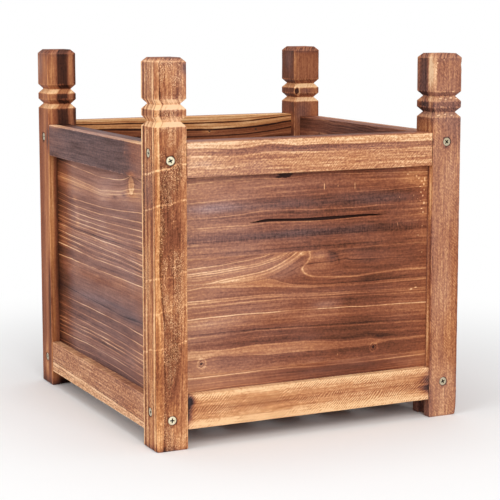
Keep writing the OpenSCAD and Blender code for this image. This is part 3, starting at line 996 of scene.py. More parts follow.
# Stations that the grain lines of its flame, of its swirl and of the swirl's edge share
FLAME = (-146, -124, -100, -80, -60, -40, -20, 0, 60, 146)
SWIRL = (-146, -124, -100, -80, -60, -50, -40, -30, -20, -12, -6, 0, 146)
SWIRL_EDGE = (-146, -100, -60, -40, -25, -10, 0, 146)
FRONT_MIDDLE = Wood(
    flow=[
        (73.5, [(0, 73.5)]), (82, [(-146, 82), (0, 80.5), (60, 79.5), (146, 81)]),
        (90, [
            (-146, 90), (-126, 90), (-105, 92), (-80, 90), (-40, 87.5), (25, 86), (48, 87), (72, 85.5),
            (90, 89), (146, 89),
        ]),
        (99, [
            (-146, 99.6), (-100, 97.5), (-65, 99.6), (-30, 99), (0, 97.4), (36, 93.6), (50, 92.5),
            (74, 94), (90, 89.4), (146, 89.4),
        ]),
        (114, [(-146, 112.5), (-60, 114.3), (0, 112.6), (60, 110.2), (146, 107)]),
        (118, [(-146, 117.5), (-60, 118), (60, 114.5), (146, 111.5)]),
        (133, [(-146, 132.5), (-80, 133.6), (-20, 133), (30, 131.5), (146, 128)]),
        (151, [(-146, 150.5), (-40, 151.6), (0, 148.8), (60, 147), (146, 144.6)]),
        (162.3, drawn(FLAME, 161.8, 164.2, 162.5, 161.2, 160.6, 158.8, 156.8, 155.2, 153.4, 153.2)),
        (163, drawn(FLAME, 162.6, 165.2, 163.5, 162.2, 161.5, 159.7, 157.7, 156, 154.2, 154)),
        (166, [
            (-146, 163), (-124, 165.6), (-100, 165.6), (-80, 166), (-60, 167.6), (-45, 170), (-40, 166.4),
            (-30, 162.8), (-20, 160.4), (0, 158.3), (30, 157), (60, 156.4), (146, 157),
        ]),
        (188, [
            (-60, 167.8), (-45, 170.3), (-30, 171), (-16, 177), (-8, 180), (0, 181), (20, 181.5),
            (30, 181), (35, 182), (38, 186), (41, 184.5), (50, 182.6), (80, 181), (146, 179),
        ]),
        (200, [
            (-146, 163.4), (-124, 166), (-60, 168.1), (-45, 170.8), (-40, 173), (-30, 177), (-20, 182.5),
            (-12, 187.5), (-8, 190.5), (-5, 194), (10, 196), (146, 196),
        ]),
        (203, drawn(
            SWIRL, 163.8, 166.4, 168.8, 170.8, 172.8, 174.4, 177.2, 181.4, 186.6, 190.6, 196, 200, 200,
        )),
        (207, drawn(
            SWIRL, 164.2, 166.8, 170.6, 172.9, 175.2, 177, 180.2, 184.8, 190.2, 196, 200, 204, 204,
        )),
        (208.4, drawn(
            SWIRL, 164.8, 167.6, 171.9, 174.2, 176.6, 178.5, 181.8, 186.5, 192, 198, 202.5, 207, 207,
        )),
        (216, drawn(SWIRL_EDGE, 174.5, 177, 180.6, 185, 190.5, 198, 215, 215)),
        (218.5, drawn(SWIRL_EDGE, 177, 179.3, 182.8, 187, 192, 200, 219, 219)),
        (220.5, drawn(SWIRL_EDGE, 179, 181.4, 185, 188.8, 193.4, 211.16, 223, 223)),
        (226, [(-146, 184), (-100, 186.8), (-60, 191), (-45, 194), (0, 240), (146, 240)]),
        (238, [(-146, 196), (-60, 206), (40, 260), (146, 260)]),
    ],
    bands=[
        (73, .66), (77, .62), (82, .58), (86, .53), (89.8, .53), (90.6, .76), (95, .78), (98.8, .77),
        (99.4, .54), (104, .5), (110, .52), (114, .56), (116, .49), (118, .56), (124, .66), (129, .69),
        (133, .7), (137, .58), (143, .62), (149, .68), (155, .6), (161.8, .6), (162.5, .86), (163.4, .84),
        (164, .76), (165.6, .78), (166.2, .5), (167.4, .57), (172, .6), (180, .62), (187, .6), (188, .62),
        (194, .6), (199, .6), (200, .74), (202.2, .8), (202.7, .96), (203.5, .94), (204, .76),
        (206.4, .76), (206.9, .98), (207.8, .96), (208.4, .68), (219, .67), (224, .66), (228, .6),
        (238, .56),
    ],
    lines=[
        (71.5, .1), (90.2, .1), (99.2, .12), (103, -.05), (107.5, .06), (114.2, .16), (116.3, -.1),
        (121, .06), (126, .06), (133, .26), (139, .1), (142.5, -.08), (145.6, .15), (147.4, -.1),
        (149, .14), (151.2, .16), (153, -.1), (156, .05), (166.4, -.12), (178, .05), (188, -.14),
        (193, .05), (212, -.04), (216, .18), (218.5, .22), (220.5, .26), (223.5, -.06), (226, .18),
    ],
    fade=[
        (-146, .05), (-120, -.01), (-72, -.1), (-24, -.15), (24, -.19), (72, -.27), (115, -.2),
        (132, -.18), (146, -.1),
    ],
    cool=[(-146, .7), (-100, .6), (-50, .3), (24, .05), (146, -.1)],
    strokes=[
        ([
            (.5, 195), (.8, 188), (-2, 183), (-7, 178.8), (-8.6, 176), (-7, 172.5), (-3, 169.6),
            (3, 167.3), (10, 166.3), (25, 165.2), (45, 163.6), (60, 163.8), (80, 165.2), (110, 166.6),
            (146, 166),
        ], 1, .3),
        ([(-8.6, 177), (-8.4, 175), (-6.6, 172.4), (-3, 169.8), (4, 167.4)], 1.1, .14),
        ([(22, 194), (29, 191), (34, 187), (35.8, 182), (36, 180)], 1, -.16),
        ([(-12, 193.5), (-9, 191), (-4, 190.5), (0, 192)], .8, .16),
        ([
            (3, 194), (3.5, 188), (0, 182.5), (-4, 178), (-5, 175.5), (-1, 171.5), (8, 168.5), (24, 167),
        ], 1.6, .08),
    ],
    spots=[
        (24, 196, 14, 6, .09), (0, 178, 40, 6, .07), (11, 190, 11, 4.5, .22, .4), (-6, 192, 8, 2, .14),
        (27, 186, 6, 5, -.14, .3), (14, 180, 10, 8, .06), (-24, 172, 18, 7, -.03, -.1),
        (-95, 167.5, 34, 3.5, .07, -.2), (60, 156, 90, 2.5, -.08), (-16, 160, 30, 3, .04),
        (71, 160.5, 8, 2.4, -.1), (98, 172, 20, 2.2, -.08), (-82, 168.4, 34, 3.2, .13),
        (-60, 166, 24, 3, .06), (30, 189, 7, 3, -.08), (74, 178, 10, 3, -.08), (45, 176, 20, 5, -.04, -.2),
        (132, 167, 16, 2.4, .1), (-115, 127, 32, 5, .03, .4), (20, 135.5, 16, 4, .14, .7),
        (46, 136, 9, 6, -.1), (-122, 74, 16, 4, .08), (85, 91, 5, 2.5, .12), (88, 95.5, 8, 2, -.14),
        (105, 104, 46, 9, .08), (-95, 180, 45, 12, .03, .4), (60, 193, 70, 3, -.06),
        (125, 180, 22, 8, -.06), (-125, 85, 22, 8, .05), (100, 84, 34, 6, .04), (120, 138, 36, 18, .04),
        (-110, 104, 40, 7, -.03, -.3), (-35, 180, 24, 10, .03, .5),
    ],
    eyes=[(-125, 85.4, 6.2, 6.6, KNOT), (79.3, 83.8, 6.2, 6, KNOT)],
    specks=[(139, 184, 1.3, .8), (126, 144, 2.2, .8), (132, 145.5, 1.8, .7), (35, 80, .9, 1.1)],
    streak=.025, ring=.015, fibre=.09, pore=.07, grit=.085, fleck=.03, crisp=1.9, line_width=.65, slant=.2,
    seed=2,
)
FRONT_LOWER = Wood(
    flow=[
        (20, [(0, 20)]), (59, [(-146, 57), (0, 58.6), (146, 59.6)]),
        (71, [(-146, 71.2), (-60, 71.7), (0, 70.5), (60, 68.6), (100, 69), (146, 70.2)]), (75, [(0, 75)]),
    ],
    bands=[
        (20, .6), (55, .56), (59, .6), (61, .62), (65, .6), (69, .58), (70.4, .68), (71.4, .7), (73, .66),
    ],
    lines=[(71, .2), (65, .06), (59.3, .12)],
    fade=[
        (-146, .05), (-120, 0), (-72, -.08), (-24, -.15), (24, -.21), (72, -.24), (115, -.15), (132, -.08),
        (146, 0),
    ],
    cool=[(-146, .5), (-100, .4), (-50, .3), (50, .15), (110, .1), (146, 0)],
    spots=[(30, 64, 60, 4, -.06, .1)],
    streak=.03, ring=.02, fibre=.06, pore=.04, slant=.2, seed=3,
)

# Left wall, seen from outside: its back end is on the left, where the burn is darkest
LEFT_WALL = dict(
    fade=[
        (-151, -.36), (-140, -.29), (-128, -.18), (-112, -.1), (-98, -.03), (-84, .02), (-70, 0), (100, 0),
        (115, .03), (151, .04),
    ],
    cool=[(-151, -1), (-128, -.5), (-112, .2), (-92, 1), (90, 1.1), (118, .8), (151, .5)],
    line_width=.65, sway=.4, slant=.2, crisp=2.5,
)
LEFT_JOINT = (68.5, [(-146, 65.5), (-80, 67), (-40, 68.5), (40, 68), (114, 65.5)])
LEFT_UPPER = Wood(
    flow=[
        (191.5, [(-146, 193.5), (0, 191.5), (146, 191)]),
        (197.5, [(-146, 199), (-80, 197.3), (0, 197.5), (114, 199)]),
        (209.5, [(-146, 211.5), (-60, 209), (0, 209.5), (60, 211), (114, 212.5)]),
        (223, [(-146, 226), (-80, 222.5), (0, 223), (50, 225), (114, 228)]),
        (231, [(-146, 233.5), (-100, 230.5), (0, 231), (50, 233), (114, 238)]),
        (240, [(-146, 242), (-40, 241), (0, 240), (40, 243), (80, 247), (114, 249)]),
        (249, [(-146, 256), (-100, 254.5), (-60, 252), (0, 248.7), (60, 254), (80, 258), (114, 262)]),
        (264, [
            (-146, 271.5), (-80, 267), (0, 264), (40, 265), (60, 266.5), (78, 270), (92, 276), (114, 270),
        ]),
        (277, [(-146, 281), (0, 277), (92, 283), (146, 281)]),
    ],
    bands=[
        (188, .5), (193, .56), (196.5, .48), (200, .53), (205, .52), (210, .52), (216, .5), (222, .48),
        (228, .46), (234, .47), (238.5, .53), (241, .63), (246, .7), (249.5, .66), (252, .58), (257, .54),
        (262, .52), (266, .52), (270, .48), (274, .42), (277, .36), (290, .3),
    ],
    lines=[
        (264.4, .2), (257, -.05), (250, .1), (246.5, .08), (243, -.06), (231.2, .2), (223.2, .2),
        (215.5, .2), (209.7, .18), (204.6, .18), (201, .14), (197.2, -.18), (194, .2), (227, -.04),
        (219, -.05), (207, -.05),
    ],
    # The dark spot at (-135, 274), under the top rail at the back end, is the rail's painted shadow
    spots=[
        (90, 263, 10, 11, .05, -.9), (84, 256, 6, 3, .08, -.3), (96, 254, 12, 3, .1, -.3),
        (68, 251.5, 5, 1.2, -.3), (42, 247, 7, 1.2, -.26), (-130, 204, 18, 5, .1), (-130, 195, 18, 5, .2),
        (-87, 232, 7, 3, .2, -.3), (-80, 222.5, 6, 2.4, .15), (-78, 214, 6, 3, .14),
        (-77, 204, 6, 4, .2, -.2), (-95, 229, 12, 3, -.1), (-92, 213, 10, 3, -.1),
        (-130, 250, 20, 8, .1, -.3), (-135, 274, 26, 4, -.35), (12, 228, 6, 6, .04), (-48, 208, 4, 7, .05),
    ],
    eyes=[(90, 264, 10.5, 12, PALE_KNOT)],
    streak=.03, ring=.025, fibre=.06, pore=.04, seed=4, **LEFT_WALL,
)
LEFT_MIDDLE = Wood(
    flow=[
        LEFT_JOINT, (82, [(-146, 80.5), (-60, 81.5), (0, 82), (60, 80.5), (114, 78.5)]),
        (100.5, [(-146, 101), (0, 100.5), (60, 100), (114, 98)]),
        (111, [(-146, 111), (60, 111.5), (114, 109)]),
        (121, [(-146, 124), (0, 121.5), (60, 119.5), (114, 122)]), (140, [(0, 140)]),
        (159, [(-146, 158.5), (0, 159), (114, 160.5)]),
        (170, [(-146, 173), (-80, 171.5), (-20, 170), (60, 172), (114, 171)]),
        (185.5, [(-146, 188), (-50, 186), (60, 185), (114, 183)]),
        (193, [(-146, 195), (0, 193), (146, 192)]),
    ],
    bands=[
        (66, .44), (72, .42), (76, .46), (80, .42), (84, .46), (88, .42), (92, .44), (97, .38), (102, .4),
        (107, .38), (112, .42), (117, .4), (122, .36), (128, .4), (135, .43), (142, .46), (148, .52),
        (154, .52), (158, .56), (160.5, .5), (164, .4), (167, .44), (171, .56), (175, .44), (178, .5),
        (182, .48), (186, .56), (189, .48), (193, .54),
    ],
    lines=[
        (191, .14), (188.4, .1), (185.6, .24), (182.5, -.12), (179.2, .18), (176.5, -.12), (173.8, .12),
        (170.4, .28), (159.3, .28), (152.5, .05), (121, -.12), (111.3, .24), (107.5, -.06), (100.6, .24),
        (95.5, -.06), (91.6, .2), (85.8, .26), (83.4, -.12), (82, .24), (79.4, -.12), (77, .2), (74, .05),
    ],
    spots=[
        (-15, 152.5, 5, 1.2, .16), (-104, 147.5, 5, 1.2, .18), (90, 146, 10, 1.2, .12),
        (60, 156, 30, 3, .04, -.3), (-20, 124, 100, 6, 0, .4), (40, 128.5, 44, 2.6, -.1, .4),
        (92, 121.5, 30, 2.6, -.18, .3), (-128, 180, 20, 5, .16, -.3), (-128, 172, 20, 2.5, .12),
        (-130, 101, 20, 5, .17), (-130, 84, 20, 5, .12), (112, 90, 26, 18, .12), (0, 149, 120, 6, 0, -.5),
    ],
    streak=.035, ring=.02, fibre=.08, pore=.06, seed=5, **LEFT_WALL,
)
LEFT_LOWER = Wood(
    flow=[
        (17, [(0, 17)]), (59.5, [(-146, 56), (-80, 57), (-20, 59.5), (60, 59.5), (114, 57)]), LEFT_JOINT,
        (72, [(0, 72)]),
    ],
    bands=[(17, .3), (52, .32), (57, .36), (61, .38), (66, .42), (71, .44)],
    lines=[(68.6, .2), (59.6, .16)],
    spots=[(-128, 63, 20, 5, .09)],
    streak=.03, ring=.02, fibre=.06, seed=6, **LEFT_WALL,
)

# Back wall, seen from inside over the front rim: its upper part is burnt in stripes
BURN = (-146, -120, -80, -40, 20, 60, 146)
BACK_UPPER = Wood(
    flow=[
        (190, [(0, 190)]), (284, [(-146, 289), (-60, 284), (60, 285.5), (146, 286)]),
        (291, drawn(BURN, 299.5, 295.5, 292.3, 291, 291.5, 293, 296)),
        (299.6, drawn(BURN, 307.5, 303.5, 300.6, 299.6, 300.6, 302.5, 305)),
        (307.6, [
            (-146, 313.6), (-110, 310.5), (-80, 308.6), (-40, 307.6), (20, 308.2), (60, 310), (146, 311),
        ]),
        (316, [(-146, 320), (0, 316.4), (146, 318)]),
    ],
    bands=[
        (190, .46), (200, .4), (212, .5), (222, .42), (236, .5), (246, .4), (258, .46), (268, .38),
        (276, .42), (282, .36), (284.4, .18), (285.6, .5), (288.5, .57), (289.9, .52), (290.4, .1),
        (291.4, .12), (292, .57), (295, .6), (298.3, .54), (298.8, .04), (300.1, .04), (300.7, .88),
        (303, .95), (306.4, .9), (306.9, .18), (307.9, .18), (308.4, .93), (312, .98), (316, .88),
        (330, .7),
    ],
    lines=[
        (206, .12), (229, -.12), (241, .1), (262, -.12), (271, .1), (287, .08), (296.2, -.14),
        (303.4, -.12), (310.4, -.14), (312.2, .08),
    ],
    cool=[(0, -1)],
    spots=[
        (0, 290, 200, 8, .02, .7), (0, 230, 200, 30, 0, .8), (-135, 307, 14, 2, -.12),
        (30, 307.4, 40, 1.5, -.2), (-30, 307.4, 12, 1.2, .35), (-85, 308.6, 9, 1.2, .3),
        (-30, 296.4, 8, .8, .5, -.4),
    ],
    streak=.06, ring=.05, fibre=.1, line_width=.6, slant=0, seed=7,
)


def plain_board(seed, low, high, tone=.48):
    """A board that the photograph shows little or nothing of."""
    return Wood(
        bands=random_bands(seed, low - 2, high + 2, tone, .10), rise=wavy(seed, 2.5, 240),
        fade=[(-151, -.15), (-110, .04), (0, -.03), (110, .04), (151, -.12)],
        cool=[(-151, .1), (-60, .45), (60, .35), (151, .1)], ring=.16, seed=seed,
    )


RAIL_TOP_FRONT = Wood(
    flow=[
        (279.5, [(0, 279.5)]), (290, [(-146, 289), (-60, 291), (0, 289.5), (146, 290)]),
        (300, [(-146, 301), (-90, 300), (-50, 302.5), (0, 300.5), (146, 299.5)]),
        (308, [
            (-146, 310), (-120, 309), (-100, 307.5), (-85, 307), (-50, 311.3), (-35, 309.7), (-20, 308),
            (0, 308.6), (50, 307.4), (80, 308), (146, 307.5),
        ]),
        (316, [(0, 316)]),
    ],
    bands=[
        (279, .8), (281, .8), (285, .79), (289, .76), (292, .74), (296, .74), (299, .76), (300.6, .64),
        (303, .58), (306.6, .57), (307.8, .76), (309, .9), (312, .94), (316, .95),
    ],
    lines=[
        (299.7, .12), (297.6, -.05), (295, -.06), (292.4, -.05), (287.6, -.06), (284, -.05), (303.5, -.06),
        (305.4, .04), (308.4, .08), (311.2, -.06), (313, -.04),
    ],
    fade=[(-146, .02), (-100, .02), (-60, -.03), (0, -.02), (60, -.02), (146, -.01)],
    cool=[(-146, .9), (-80, .55), (0, .25), (80, .15), (146, .2)],
    spots=[
        (-132, 304, 24, 5, .18), (-66, 290, 18, 6, -.06, .3), (0, 304, 110, 3, -.02, .3),
        (70, 303.5, 60, 3, -.03, .2), (10, 306, 50, 3, -.07), (-126, 294, 20, 5, .06, .4),
        (-72, 306, 20, 3, .06), (-146, 296, 2, 20, -.25), (-98, 280.5, 50, 4, -.17),
        (-72, 285, 18, 5, -.1), (100, 312, 50, 5, -.06),
    ],
    specks=[(94, 313, 2.4, 1.2), (98, 312, 1.8, 1)],
    streak=.055, ring=.04, fibre=.12, pore=.1, grit=.16, hatch=.065, wear=.15, top_light_shift=-.35, slant=.3,
    seed=20,
)
RAIL_LOW_FRONT = Wood(
    bands=[
        (18, .98), (22, 1), (25, 1), (28.5, .95), (30.5, .87), (33, .8), (35.5, .77), (38, .71), (40, .68),
        (42.5, .7), (45, .77), (47.5, .8), (50, .84), (53, .95), (56, .98),
    ],
    lines=[(29.5, -.08), (26, -.05), (24, .03), (39.5, -.05), (47, -.06)],
    fade=[(-146, -.04), (-138, -.01), (-100, .02), (90, 0), (130, -.05), (146, -.1)],
    cool=[(-146, .4), (-136, -.15), (136, -.15), (146, .4)],
    spots=[
        (125, 43, 18, 6, .08), (-125, 46, 20, 6, .06), (-145, 49, 5, 5.5, -.5, .8),
        (-146, 39, 2.6, 9, -.4, .6), (142, 45, 9, 2.6, -.34, .3), (146, 52, 3, 5, -.3, .3),
        (-144, 50, 5.5, 6, -.95, .9), (-146, 33, 5, 6, -.6, .3), (140, 34.5, 13, 1.6, -.65, .8),
        (146, 33, 7, 5, -.55, .4), (141, 42, 9, 2, -.25, .4), (110, 49, 16, 2, -.05, .3),
    ],
    rise=wavy(23, .7, 180), streak=.045, ring=.02, fibre=.08, pore=.08, grit=.09, hatch=.16, wear=.15,
    slant=.3, seed=21,
)
RAIL_TOP_LEFT = Wood(
    bands=[(274, .29), (280, .28), (286, .26), (292, .28), (298, .27), (304, .25), (309, .21), (314, .24)],
    fade=[(-146, .08), (-112, .05), (-60, 0), (80, 0), (108, .05), (122, .14), (134, .22), (146, .24)],
    cool=[(-146, 1), (-60, 1.25), (80, 1.2), (118, .9), (146, .6)],
    spots=[
        (0, 311, 50, 4, -.08), (-130, 279, 22, 3, -.08, -.6), (118, 300, 15, 12, .06, -.3),
        (114, 279, 13, 2.4, .28, -1), (98, 300, 2.5, 2.5, .22, -.3), (-126, 311, 20, 3, .22, -.4),
        (-134, 282, 16, 5, -.08), (106, 309, 10, 1.2, .15, -.4), (128, 311, 20, 3, .12, -.2),
        (125, 284, 24, 7, -.08), (60, 311, 40, 2.5, .06),
    ],
    rise=wavy(25, 1, 160), streak=.035, ring=.02, fibre=.07, pore=.07, grit=.08, wear=.5, wear_width=.9,
    top_light_shift=.44, slant=.3, seed=22,
)
RAIL_LOW_LEFT = Wood(
    flow=[
        (17, [(0, 17)]), (24.6, [(-146, 25), (0, 24.8), (146, 21.5)]),
        (28.3, [(-146, 30.2), (-60, 29), (0, 28.3), (60, 27), (146, 24.4)]), (54, [(0, 54)]),
    ],
    bands=[
        (15, .9), (20, .88), (23, .9), (25.5, .92), (27.4, .88), (28.8, .7), (31, .66), (34, .68),
        (40, .69), (46, .7), (50, .7), (54, .76),
    ],
    lines=[
        (28.4, -.32), (30.5, -.14), (26.5, .08), (24.8, -.22), (22, -.08), (50, .06), (47, -.06),
        (43, -.06), (36, -.07),
    ],
    cool=[(-146, .4), (0, .5), (146, .5)],
    spots=[
        (-72, 31, 30, 4, .08), (125, 29, 20, 6, .08), (24, 51, 20, 3, -.05), (-70, 48, 30, 4, -.04),
        (80, 34, 50, 3, -.05), (85, 51.5, 75, 3, -.16), (125, 29, 26, 5, .11),
    ],
    streak=.04, ring=.03, fibre=.11, pore=.18, grit=.2, hatch=.06, fleck=.1, wear=.4, slant=.3, seed=23,
)


def plain_rail(seed, low, high, tone):
    """A rail that the photograph shows little or nothing of."""
    return Wood(
        bands=random_bands(seed, low - 2, high + 2, tone, .12), rise=wavy(seed, 1.5, 150),
        cool=[(0, .4)], hatch=.05, wear=.3, top_light_shift=-.05, seed=seed,
    )


BOARDS = {
    ("front", "upper"): FRONT_UPPER, ("front", "middle"): FRONT_MIDDLE, ("front", "lower"): FRONT_LOWER,
    ("left", "upper"): LEFT_UPPER, ("left", "middle"): LEFT_MIDDLE, ("left", "lower"): LEFT_LOWER,
    ("back", "upper"): BACK_UPPER,
}
RAILS = {
    ("front", "top"): RAIL_TOP_FRONT, ("front", "low"): RAIL_LOW_FRONT,
    ("left", "top"): RAIL_TOP_LEFT, ("left", "low"): RAIL_LOW_LEFT,
}

# Close grid lines along and up, and the change of shape and tone, of the boards that need them
CLOSE_GRIDS = {
    ("front", "upper"): (
        near(-33, 12, 13) + near(17.5, 2, 5) + near(34, 2, 5) + near(54.5, 1.5, 5),
        near(CRACK_MIDDLE, 3, 17) + near(277, 3, 9) + near(262, 6, 9),
        open_crack, crack_char,
    ),
    ("front", "middle"): (near(-2, 52, 88), near(177, 17, 58), None, None),
    ("left", "upper"): (
        near(91, 12, 13) + near(68, 6, 7), near(262, 12, 13) + near(249, 3, 7), None, None,
    ),
}


def wall_boards():
    """The three boards of each wall; those that the screws and brads reach have their holes."""
    for side, turns in TURNS.items():
        for level in LEVELS:
            node = f"board_{level}_{side}"
            low, high = local_box(node, turns)
            seed = SEEDS["board"] + 5 * turns + LEVELS.index(level)
            wood = BOARDS.get((side, level)) or plain_board(seed, low[2], high[2])
            near_u, near_v, shape, char = CLOSE_GRIDS.get((side, level), ([], [], None, None))
            holes = () if level == "middle" else (f"brads_{side}", *[f"screws_{c}" for c in CORNERS])
            if level == "lower" and side in ("front", "back"):
                holes = (*holes, "bearer_screws")
            build_timber(Timber(
                node, turns, "board_wood", wood, ease=0.25, step=4.0,
                near_u=near_u, near_v=near_v, shape=shape, char=char, holes=holes,
            ))


def wall_rails():
    """The top and the low rail of each wall."""
    for side, turns in TURNS.items():
        for place in ("top", "low"):
            node = f"rail_{place}_{side}"
            low, high = local_box(node, turns)
            seed = SEEDS["rail"] + 5 * turns + len(place)
            wood = RAILS.get((side, place)) or plain_rail(seed, low[2], high[2], .62)
            slot = "rail_wood_burnt" if (side, place) == ("left", "top") else "rail_wood"
            build_timber(Timber(node, turns, slot, wood, ease=0.9, step=3.5, holes=(f"brads_{side}",)))


def floor_timbers():
    """The two bearers and the slats on them."""
    for side in ("front", "back"):
        node = f"bearer_{side}"
        low, high = local_box(node, TURNS[side])
        wood = plain_board(SEEDS["bearer"] + TURNS[side], low[2], high[2], .4)
        build_timber(Timber(
            node, TURNS[side], "floor_wood", wood, ease=0.8, step=5.0,
            holes=("bearer_screws", "slat_nails"),
        ))
    for number in range(1, 6):
        build_slat(f"slat_{number}", number)


def build_slat(node, number):
    """A floor slat: its grain runs from front to back, and its rings lie across its width."""
    low, high = local_box(node, 1)
    seed = SEEDS["slat"] + number
    wood = Wood(
        bands=random_bands(seed, low[1] - 2, high[1] + 2, .48, .12), rise=wavy(number, 2.0, 200),
        cool=[(0, .15)], streak=.08, ring=.2, wear=.3, slant=.5, seed=seed,
    )
    grid = [grid_lines(*ends, SLAT_EASE_LIMITS[1]) for ends in zip(low, high, SLAT_STEPS)]
    points, faces = lattice(*grid)
    worn = SLAT_EASE * (1 + SLAT_SWING * wander(points[:, 0], number, SLAT_WAVE))
    placed = rounded(points, low, high, np.clip(worn, *SLAT_EASE_LIMITS))
    piece = new_piece(node + "_wood", turned(placed, 1), faces)
    cut_bores(piece, ("slat_nails",))
    here = turned(mesh_points(piece), -1)
    edge = edge_distance(here, low, high)
    material = paint(piece, wood, here[:, 0], here[:, 1], here[:, 2] - low[2], edge)
    dress(piece, node, "floor_wood", material)


# Posts

# Edge of a facet in millimetres, tone of the end grain, how much less the levels wear than the
# arrises, and the shade around a screw head as (tone, reach)
FACET_EDGE = 0.3
END_TONE = -0.3
LEVEL_WEAR = 0.2
SCREW_SHADE = 0.5
SHADE_REACH = 1.3


def post_profile(height):
    """Corners of a post's side, from the foot up, as (height, how far in)."""
    upper_v = height - HEAD_H - V_H / 2
    lower_v = upper_v - V_H - RING_H
    half = V_H / 2
    return [
        (0, FOOT_CHAMFER), (FOOT_CHAMFER, 0),
        (lower_v - half, 0), (lower_v, V_DEPTH), (lower_v + half, 0),
        (upper_v - half, 0), (upper_v, V_DEPTH), (upper_v + half, 0),
        (height - TOP_CHAMFER, 0), (height, TOP_CHAMFER),
    ]


def eased_profile(corners, radius):
    """The profile with its corners rounded a little."""
    out = [corners[0]]
    for before, here, after in zip(corners, corners[1:], corners[2:]):
        a, b, c = Vector(before), Vector(here), Vector(after)
        back = min(radius, 0.4 * (a - b).length)
        start, end = b + (a - b).normalized() * back, b + (c - b).normalized() * back
        for t in (0, 0.5, 1):
            out.append(tuple((1 - t) ** 2 * start + 2 * t * (1 - t) * b + t * t * end))
    return [*out, corners[-1]]


@dataclass
class Post:
    """A corner's looks: tones of the V cuts' facets, down (painted shade) and up (bare wood), and its worn
    corners.

    A worn corner is (sign of x, sign of y, height, reach, radius).
    """
    corner: str
    sides: tuple
    wood: Wood
    facets: tuple = (-.06, .26)
    crown: float = -.10
    worn: list = field(default_factory=list)


def groove_cutter(side):
    """The space of a wall's boards with their play, open at the foot, with close lines at both ends."""
    turns = TURNS[side]
    boxes = [local_box(f"board_{level}_{side}", turns) for level in LEVELS]
    low = np.min([b[0] for b in boxes], axis=0) - (END_FIT, GROOVE_FIT, 0)
    high = np.max([b[1] for b in boxes], axis=0) + (END_FIT, GROOVE_FIT, GROOVE_FIT)
    us = np.array([low[0], low[0] + 3, low[0] + 9, 0, high[0] - 9, high[0] - 3, high[0]])
    ds = np.linspace(low[1], high[1], 5)
    vs = np.linspace(-1, high[2], 80)
    points, faces = lattice(us, ds, vs)
    return turned(points, turns), faces


def post_mesh(post, low, high):
    """Points and faces of a post before its grooves and holes are cut."""
    centre = (low + high) / 2
    half, height = (high[0] - low[0]) / 2, high[2] - low[2]
    profile = eased_profile(post_profile(height), PROFILE_EASE)
    between = np.arange(END_MARGIN, height - END_MARGIN, POST_STEP_UP).round(3)
    stations = sorted({round(z, 3) for z, _ in profile} | set(between))
    vs = [stations[0]]
    for z in stations[1:]:
        if z - vs[-1] > LEVEL_GAP:
            vs.append(z)
    vs[-1] = height
    close = [sign * (half - inset) for sign in (-1, 1) for inset in POST_LINES]
    lines = grid_lines(-half, half, POST_STEP, POST_EASE_LIMITS[1], close)
    points, faces = lattice(lines, lines, np.array(vs))
    x, y, z = points.T
    inset = np.interp(z, *zip(*profile))
    seed = post.wood.seed
    around = z + 57 * np.sign(x) + 131 * np.sign(y)
    ease = POST_EASE * (1 + POST_SWING * wander(around, seed, POST_EASE_WAVE))
    for sign_x, sign_y, at, reach, radius in post.worn:
        here = (x * sign_x > 0) & (y * sign_y > 0)
        ease = ease + np.where(here, radius * np.exp(-((z - at) / reach) ** 2), 0)
    rim = np.array([half, half])
    flat = rounded(np.stack([x, y], 1), -rim, rim, np.clip(ease, *POST_EASE_LIMITS))
    arris = np.hypot(half - abs(flat[:, 0]), half - abs(flat[:, 1]))
    around = z + 23 * np.sign(x) + 71 * np.sign(y)
    dip = POST_DIP + DIP * wander(around, seed + 9, POST_DIP_WAVE)
    dip = dip * smooth_step(arris / DIP_EDGE)
    flat *= ((half - inset - dip) / half)[:, None]
    placed = np.stack([flat[:, 0] + centre[0], flat[:, 1] + centre[1], z + low[2]], 1)
    return placed, faces


def build_post(post):
    """One post: its shape, grooves and holes, and its looks."""
    node = "post_" + post.corner
    low, high = [np.array(c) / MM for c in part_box(node)]
    centre, half = (low + high) / 2, (high[0] - low[0]) / 2
    placed, faces = post_mesh(post, low, high)
    piece = new_piece(node + "_wood", placed, faces)
    cut(piece, *joined([groove_cutter(side) for side in post.sides]))
    cut_bores(piece, ("screws_" + post.corner,))
    here = mesh_points(piece) - (centre[0], centre[1], 0)
    x, y, z = here.T
    corners = post_profile(high[2])
    inset = np.interp(z, *zip(*corners))
    arris = np.hypot(half - inset - abs(x), half - inset - abs(y))
    level = np.min([abs(z - at) for at, _ in corners[2:]], axis=0)
    edge = np.minimum(arris, level + LEVEL_WEAR)
    shift = facet_shift(z, high[2], post)
    for f in FASTENERS["screws_" + post.corner]:
        off = here + (centre[0], centre[1], 0) - f.head
        away = np.linalg.norm(off - np.outer(off @ f.direction, f.direction), axis=1)
        shift = shift - SCREW_SHADE * np.clip(1 - (away - f.head_d / 2) / SHADE_REACH, 0, 1)
    material = paint(piece, post.wood, z, x - y, np.zeros_like(z), edge, shift)
    dress(piece, node, "post_wood", material)


def facet_shift(z, height, post):
    """Change of tone on the facets of the V cuts (painted shade on the down-facing ones, bare wood on the
    up-facing ones), on the slopes of the top and on its flat end.
    """
    down, up = post.facets
    shift = np.zeros_like(z)
    corners = post_profile(height)
    for (z0, in0), (z1, in1) in zip(corners, corners[1:]):
        inside = (z > z0 + FACET_EDGE) & (z < z1 - FACET_EDGE)
        if in1 < in0 and z0 > height / 2:
            shift = np.where(inside, down, shift)
        elif in1 > in0 and z1 < height - 1:
            shift = np.where(inside, up, shift)
        elif in1 > in0:
            shift = np.where(inside, post.crown, shift)
    return np.where(z > height - FACET_EDGE, END_TONE, shift)


